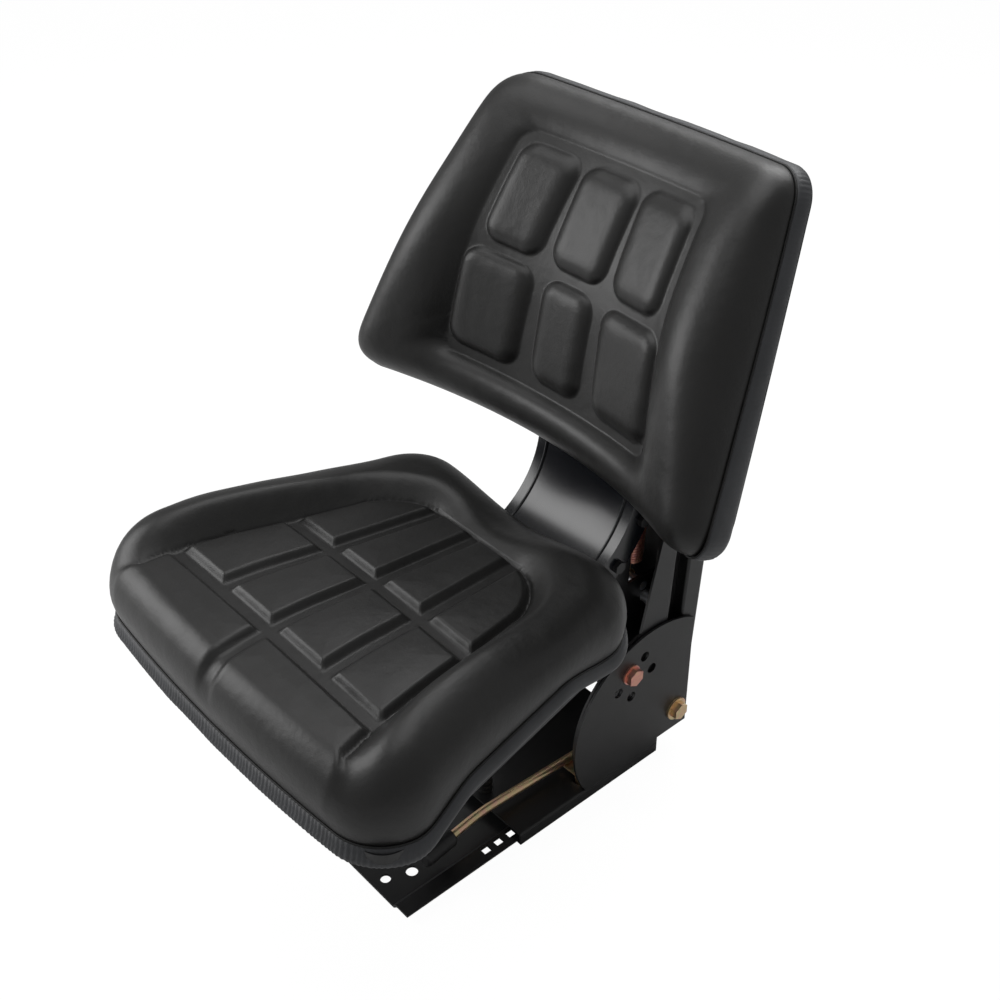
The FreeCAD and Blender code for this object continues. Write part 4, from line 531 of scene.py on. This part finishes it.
# Backrest
# lengths in mm; middle is how far the face stands out along the height, as shares of thick
backrest = {
    "lean": 23.5, "y": 154.0, "z": 444.0, "arc": 543.0,
    "low": -38.0, "top": 312.0, "halfLow": 262.0, "halfTop": 188.0, "cornerLow": 28.0, "cornerTop": 36.0,
    "centre": (0.0, 140.0), "grow": -1.5,
    "sag": 9.0, "sagFrom": 60, "sagReach": 98, "sagMiddle": 0.35,
    "thick": 91.0, "seam": 22.0, "rollSide": 53.0, "rollTop": 44.0, "rollLow": 34.0, "rise": 10.0,
    "wallSteps": 18, "innerSteps": 110, "tuck": 1.0, "swell": 4.0, "fullness": 1.08, "passes": 45,
    "underInset": 12, "underStep": 5, "underDeep": 4.0, "seamDrop": 4,
    "panelLow": 16.0, "panelTop": 261.0, "panelHalfLow": 148.0, "panelHalfTop": 122.0, "panelCorner": 16.0,
    "floor": 8.0, "slope": 33.0, "step": 4.2, "stepReach": 7.0,
    "middle": [(-40, 0.60), (-10, 0.68), (25, 0.755), (75, 0.885), (125, 0.985), (162, 1.0), (200, 0.955),
               (246, 0.86), (275, 0.765), (312, 0.62)],
    "riseShare": [(-40, 1.0), (60, 1.0), (120, 0.75), (190, 0.2), (250, -0.15), (312, -0.9)],
    "pads": [(-38, 38, 145, 251), (45, 119, 144, 252), (-119, -45, 144, 252),
             (-35, 35, 26, 136), (42, 131, 26, 136), (-131, -42, 26, 136)],
    "padEdge": 20.0, "padCorner": 21.0, "padFoot": 5.0, "padFootShare": 0.3, "padCrown": 0.12,
    "padSpread": 0.0009, "padSpreadFrom": 200,
}
leanRows = np.array(Matrix.Rotation(-math.radians(backrest["lean"]), 3, "X"))


# Points given across, out of the rear face and up along the backrest, turned into the part's frame.
def onShell(x, deep, v):
    c = backrest
    y = np.sqrt((c["arc"] - deep) ** 2 - x ** 2) - c["arc"]
    local = np.column_stack([x, y, v])
    return local @ leanRows.T + np.array([0, c["y"], c["z"]])


# Points of the plan at a depth out of the rear face.
def placeBack(plan, up):
    return onShell(plan[:, 0], np.broadcast_to(up, len(plan)), plan[:, 1])


# The backrest's outline across and up, grown by offset, with its sagging lower corners.
def backOutline(offset, count):
    c = backrest
    low, top = c["low"] - offset, c["top"] + offset
    halfLow, halfTop = c["halfLow"] + offset, c["halfTop"] + offset
    corners = [(halfLow, low), (halfTop, top), (-halfTop, top), (-halfLow, low)]
    cornerLow, cornerTop = c["cornerLow"] + offset, c["cornerTop"] + offset
    points, normals = roundedOutline(corners, [cornerLow, cornerTop, cornerTop, cornerLow], count)
    lower = smooth((c["sagFrom"] - points[:, 1]) / c["sagReach"])
    points[:, 1] -= c["sag"] * (lower * ((points[:, 0] / c["halfLow"]) ** 2 - c["sagMiddle"]))
    return points, normals


# Distance inside the recessed panel.
def panelInside(x, v):
    c = backrest
    share = (v - c["panelLow"]) / (c["panelTop"] - c["panelLow"])
    half = c["panelHalfLow"] + (c["panelHalfTop"] - c["panelHalfLow"]) * share
    return insideOf(x, v, half, c["panelLow"], c["panelTop"], c["panelCorner"])


# How far the face stands out of the shell.
def backDeep(x, v):
    c = backrest
    inside = panelInside(x, v)
    face = c["thick"] * table(v, c["middle"])
    out = np.clip(-inside / c["slope"], 0, 1)
    climb = c["floor"] - c["step"] + c["rise"] * table(v, c["riseShare"])
    roll = face - c["floor"] + c["step"] * smooth(-inside / c["stepReach"]) + climb * (1 - (1 - out) ** 2)
    raised = np.zeros_like(x)
    for left, right, low, high in c["pads"]:
        middle, half = (left + right) / 2, (right - left) / 2
        spread = c["padSpread"] * (c["padSpreadFrom"] - v) if middle else 0
        across = x - middle * (1 + spread)
        d = insideOf(across, v, half, low, high, c["padCorner"])
        shallow = np.clip(d / c["padEdge"], 0, 1)
        pad = (1 - (1 - shallow) ** 3) * smooth(d / c["padFoot"] + c["padFootShare"])
        crown = c["padCrown"] * np.clip(1 - (across / half) ** 2, 0, 1)
        raised = np.maximum(raised, pad + crown * shallow)
    return np.where(inside > 0, face - c["floor"] + c["floor"] * raised, roll)


backPoints, backNormals = backOutline(backrest["grow"], outlineCount)
acrossShare = backNormals[:, 0] ** 2
backRoll = backrest["rollSide"] * acrossShare + (1 - acrossShare) * np.where(
    backNormals[:, 1] > 0, backrest["rollTop"], backrest["rollLow"])
backMiddle = np.array(backrest["centre"])
backPlan, backLevel = cushionGrid(backPoints, backNormals, backMiddle, backRoll, backDeep, backrest["seam"],
                                  backrest)
rings = [placeBack(p, d) for p, d in zip(backPlan, backLevel)]
rings = relaxed(rings, backPlan, panelInside, backrest["passes"])
inner = backPoints - backNormals * backrest["underInset"]
outer = inner + backNormals * backrest["underStep"]
rings = [placeBack(inner, backrest["underDeep"]),
         placeBack(outer, backrest["seam"] - backrest["seamDrop"])] + rings
nearMiddle = backMiddle[None] + [nearAxis, 0.0]
backTop = backDeep(nearMiddle[:, 0], nearMiddle[:, 1])
backCushion = closedCushion("backCushion", rings, placeBack(nearMiddle, backrest["underDeep"]),
                            placeBack(nearMiddle, backTop), (0, -1, 0))
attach(backCushion, "seat")
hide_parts("back_cushion")
print("back cushion made")


# Backrest trim
# profile rows: share of thick outward, share of the wander, share of the crimps, share of deep, mm more
backTrim = {
    "deepTop": 21.0, "deepLow": 29.0, "thick": 4.2, "cord": 1.3, "crimp": 4.6, "crimpLift": 0.45,
    "crimpAt": 0.7, "crimpReach": 0.25, "inside": -3, "lowDeep": 0.6, "topLift": 0.2,
    "grow": -2.6, "deepFrom": -40, "deepReach": 350, "softCount": 70, "soft": 0.4,
    "profile": [(0.5, 1, 0, 0, 0.2), (0.9, 1, 1, 0.16, 0), (1.0, 1, 1, 0.4, 0), (0.92, 1, 1, 0.68, 0),
                (0.6, 0.6, 0, 0.9, 0), (0.3, 0, 0, 1.0, 0)],
    "seamOut": 0.6, "seamUp": 0.9,
}
rimPoints, rimNormals = backOutline(backTrim["grow"], bandCount)
upShare = smooth((rimPoints[:, 1] - backTrim["deepFrom"]) / backTrim["deepReach"])
rimDeep = backTrim["deepLow"] + (backTrim["deepTop"] - backTrim["deepLow"]) * upShare
rimAlong = runAlong(rimPoints)
rimSoft = wander(rimAlong, backTrim["softCount"], backTrim["soft"])
rimCorner = np.exp(-((np.abs(rimNormals[:, 0]) - backTrim["crimpAt"]) / backTrim["crimpReach"]) ** 2)
rimCrimps = np.sin(2 * math.pi * rimAlong / backTrim["crimp"]) * rimCorner * backTrim["crimpLift"]
rimSection = [(backTrim["inside"], backTrim["lowDeep"])]
for share, wave, crimp, deep, more in backTrim["profile"]:
    outward = backTrim["thick"] * share + rimSoft * wave + rimCrimps * crimp
    rimSection.append((outward, rimDeep * deep + more))
rimSection.append((backTrim["inside"], rimDeep + backTrim["topLift"]))
rimMesh, rimFaces = sweepBand(rimPoints, rimNormals, rimSection, placeBack)
rim = makeMesh("backTrim", rimMesh, rimFaces, "trim_vinyl", "seat")
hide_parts("back_trim")
# the backrest's seam cord is painted shade of the crease between trim and cushion
seamPlan = rimPoints + rimNormals * backTrim["seamOut"]
seamDeep = rimDeep + backTrim["seamUp"]
seamMiddle = placeBack(seamPlan, seamDeep)
seamOut = placeBack(seamPlan + rimNormals, seamDeep) - seamMiddle
seamFore = placeBack(seamPlan, seamDeep + 1) - seamMiddle
cordAlong("backSeam", seamMiddle, seamOut, seamFore, backTrim["cord"], "seamCordPaintedShade", "seat")
print("back trim made")


# Springs
# low and top are the ends of the coil; taper is the share of each half where it closes in on its hook
springs = {
    "across": 50.0, "anchorY": 168.0, "radius": 12.4, "wire": 1.6, "low": 264.0, "top": 345.0, "turns": 24,
    "anchorZ": 240.0, "middleZ": 304.0, "beamZ": 366.0, "eye": 7.9, "pivot": (0.0, 217.0, 54.0), "lean": 4.0,
    "stepsPerTurn": 18, "taperFrom": 0.93, "taper": 0.07, "taperBy": 0.55, "neckSteps": 5, "neckRise": 1.1,
    "eyeSteps": 19, "eyeTurn": 0.86, "wireSides": 7,
}
columnTurn = np.array(Matrix.Rotation(-math.radians(springs["lean"]), 3, "X"))


# Points of the upright column turned to its rest lean.
def inColumn(points):
    pivot = np.array(springs["pivot"])
    return (np.asarray(points) - pivot) @ columnTurn.T + pivot


# a direction that no wire starts along
aside = [0.3, 0.9, 0.1]


# A round wire along a line, closed at both ends.
def wireAlong(name, line, size, slot, sides):
    line = np.array(line)
    ahead = np.gradient(line, axis=0)
    ahead /= np.linalg.norm(ahead, axis=1)[:, None]
    guide = np.cross(ahead[0], aside)
    rings = []
    for spot, way in zip(line, ahead):
        guide = guide - way * (guide @ way)
        guide /= np.linalg.norm(guide)
        other = np.cross(way, guide)
        rings.append([spot + size * (guide * math.cos(a) + other * math.sin(a))
                      for a in np.linspace(0, 2 * math.pi, sides, endpoint=False)])
    points = np.array(rings).reshape(-1, 3)
    faces = ringFaces(len(rings), sides)
    faces.append(tuple(reversed(range(sides))))
    faces.append(tuple(range((len(rings) - 1) * sides, len(rings) * sides)))
    return makeMesh(name, points, faces, slot, None)


# Half of a spring from its middle to one hook, upright and about its own axis.
def coilHalf(upper):
    s = springs
    middle = (s["low"] + s["top"]) / 2
    halfTurns = s["turns"] / 2
    steps = int(halfTurns * s["stepsPerTurn"])
    line = []
    for k in range(steps + 1):
        share = k / steps
        angle = 2 * math.pi * halfTurns * share + math.pi / 2
        near = 1 - smooth((share - s["taperFrom"]) / s["taper"]) * s["taperBy"]
        z = middle + (s["top"] - middle) * share if upper else middle - (middle - s["low"]) * share
        way = angle if upper else -angle + math.pi
        line.append((s["radius"] * near * math.cos(way), s["radius"] * near * math.sin(way), z))
    end = line[-1]
    anchor = s["beamZ"] if upper else s["anchorZ"]
    sign = 1 if upper else -1
    for k in range(1, s["neckSteps"] + 1):
        share = smooth(k / s["neckSteps"])
        line.append((end[0] * (1 - share), end[1] * (1 - share), end[2] + sign * k * s["neckRise"]))
    eyeStart = anchor - sign * s["eye"]
    neckEnd = line[-1][2]
    for k in range(1, s["neckSteps"]):
        line.append((0, 0, neckEnd + (eyeStart - neckEnd) * k / s["neckSteps"]))
    for k in range(1, s["eyeSteps"] + 1):
        angle = -math.pi / 2 + 2 * math.pi * s["eyeTurn"] * k / s["eyeSteps"]
        line.append((0, s["eye"] * math.cos(angle), anchor + sign * s["eye"] * math.sin(angle)))
    return np.array(line)


wound = int(springs["turns"] / 2 * springs["stepsPerTurn"]) + 1
for side, sign in (("Left", 1), ("Right", -1)):
    for half, upper in (("Upper", True), ("Lower", False)):
        line = coilHalf(upper) + np.array([sign * springs["across"], springs["anchorY"], 0])
        coil = wireAlong("spring" + side + half, inColumn(line[:wound]), springs["wire"], "copper_zinc",
                         springs["wireSides"])
        hook = wireAlong("hook" + side + half, inColumn(line[wound - 1:]), springs["wire"], "yellow_zinc",
                         springs["wireSides"])
        for wire in (coil, hook):
            if upper:
                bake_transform(wire)
            else:
                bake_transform(wire)
            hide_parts("spring_" + side.lower())
print("springs made")


# Bracket beads
# they follow the bend of the bracket, set a little into its face
bracketBeads = {"bendY": 50.4, "footZ": 287.0, "arc": 110.0, "across": 62.0, "size": 1.6, "sunk": 0.2,
                "from": 8, "sweep": 80, "steps": 40, "sides": 8}
for side, sign in (("Left", 1), ("Right", -1)):
    b = bracketBeads
    line = []
    for k in range(b["steps"] + 1):
        angle = math.radians(b["from"] + b["sweep"] * k / b["steps"])
        radius = b["arc"] - b["sunk"]
        line.append((sign * b["across"], b["bendY"] + radius * math.sin(angle),
                     b["footZ"] + b["arc"] - radius * math.cos(angle)))
    bead = wireAlong("bracketBead" + side, line, b["size"], "black_gloss_steel", b["sides"])
    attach(bead, "seat")
print("bracket beads made")


# Lamps, floor and camera
# world is its light on the part, mirrored the share of its white that shiny faces see
studio = {"world": 0.15, "mirrored": 0.2, "paper": 0.82, "paperRough": 0.9, "paperGlow": 1.08,
          "glowShare": 0.9, "floorHalf": 6, "floorLow": -0.0006}
lamps = {
    "topLamp": {"spot": (-0.2, 0.1, 2.3), "aim": (0, 0, 0.3), "size": (1.8, 1.8), "power": 17.0},
    "leftLamp": {"spot": (-1.7, -1.5, 1.3), "aim": (0, 0, 0.4), "size": (1.2, 1.6), "power": 27.0},
    "backLamp": {"spot": (-0.5, 1.7, 1.9), "aim": (0, 0.2, 0.6), "size": (1.4, 0.8), "power": 18.5},
}
for name, lamp in lamps.items():
    data = bpy.data.lights.new(name, "AREA")
    data.shape = "RECTANGLE"
    data.size, data.size_y = lamp["size"]
    data.energy = lamp["power"]
    light = bpy.data.objects.new(name, data)
    light.location = lamp["spot"]
    light.rotation_euler = (Vector(lamp["aim"]) - Vector(lamp["spot"])).to_track_quat("-Z", "Y").to_euler()
    bpy.context.scene.collection.objects.link(light)

world = bpy.data.worlds.new("studioWorld")
bpy.context.scene.world = world
world.use_nodes = True
tree = world.node_tree
tree.nodes.clear()
output = tree.nodes.new("ShaderNodeOutputWorld")
seen = tree.nodes.new("ShaderNodeBackground")
seen.inputs["Strength"].default_value = 1.0
lit = tree.nodes.new("ShaderNodeBackground")
lit.inputs["Strength"].default_value = studio["world"]
choose = tree.nodes.new("ShaderNodeMixShader")
path = tree.nodes.new("ShaderNodeLightPath")
mirrored = tree.nodes.new("ShaderNodeMath")
mirrored.operation = "MULTIPLY_ADD"
mirrored.use_clamp = True
mirrored.inputs[1].default_value = studio["mirrored"]
tree.links.new(path.outputs["Is Glossy Ray"], mirrored.inputs[0])
tree.links.new(path.outputs["Is Camera Ray"], mirrored.inputs[2])
tree.links.new(mirrored.outputs[0], choose.inputs["Fac"])
tree.links.new(lit.outputs[0], choose.inputs[1])
tree.links.new(seen.outputs[0], choose.inputs[2])
tree.links.new(choose.outputs[0], output.inputs["Surface"])
seen.inputs["Color"].default_value = (1, 1, 1, 1)
lit.inputs["Color"].default_value = (1, 1, 1, 1)

floorMesh = bpy.data.meshes.new("floor")
half, low = studio["floorHalf"], studio["floorLow"]
floorMesh.from_pydata([(-half, -half, low), (half, -half, low), (half, half, low), (-half, half, low)], [],
                      [(0, 1, 2, 3)])
floor = bpy.data.objects.new("floor", floorMesh)
bpy.context.scene.collection.objects.link(floor)
w = Wiring("palePaper")
w.shader.inputs["Base Color"].default_value = (studio["paper"], studio["paper"], studio["paper"], 1)
w.shader.inputs["Roughness"].default_value = studio["paperRough"]
glow = w.add("ShaderNodeEmission")
path = w.add("ShaderNodeLightPath")
share = w.add("ShaderNodeMath", operation="MULTIPLY")
share.inputs[1].default_value = studio["glowShare"]
w.join(path, "Is Camera Ray", share, 0)
mix = w.add("ShaderNodeMixShader")
w.join(share, "Value", mix, "Fac")
w.links.new(w.shader.outputs[0], mix.inputs[1])
w.links.new(glow.outputs[0], mix.inputs[2])
glow.inputs["Strength"].default_value = studio["paperGlow"]
w.links.new(mix.outputs[0], w.nodes["Material Output"].inputs["Surface"])
floorMesh.materials.append(w.material)

# turn, down and roll are degrees, focal is in pixels of the square picture
view = {"spot": (0.89106, -0.73316, 1.24589), "turn": 49.229, "down": 35.985, "roll": 0.698,
        "focal": 1415.65, "pictureWide": 1000.0, "sensor": 36.0, "clipEnd": 50.0}
a, e, r = (math.radians(view[k]) for k in ("turn", "down", "roll"))
forward = np.array([-math.sin(a) * math.cos(e), math.cos(a) * math.cos(e), -math.sin(e)])
right = np.array([math.cos(a), math.sin(a), 0])
down = np.cross(forward, right)
rolledRight = math.cos(r) * right + math.sin(r) * down
rolledDown = -math.sin(r) * right + math.cos(r) * down
cameraData = bpy.data.cameras.new("camera")
cameraData.sensor_width = view["sensor"]
cameraData.lens = view["focal"] * view["sensor"] / view["pictureWide"]
cameraData.clip_end = view["clipEnd"]
camera = bpy.data.objects.new("camera", cameraData)
turn = Matrix([[rolledRight[i], -rolledDown[i], -forward[i]] for i in range(3)])
camera.matrix_world = Matrix.Translation(Vector(view["spot"])) @ turn.to_4x4()
bpy.context.scene.collection.objects.link(camera)
bpy.context.scene.camera = camera
bpy.context.scene.view_settings.view_transform = "Standard"
print("lamps and camera placed")
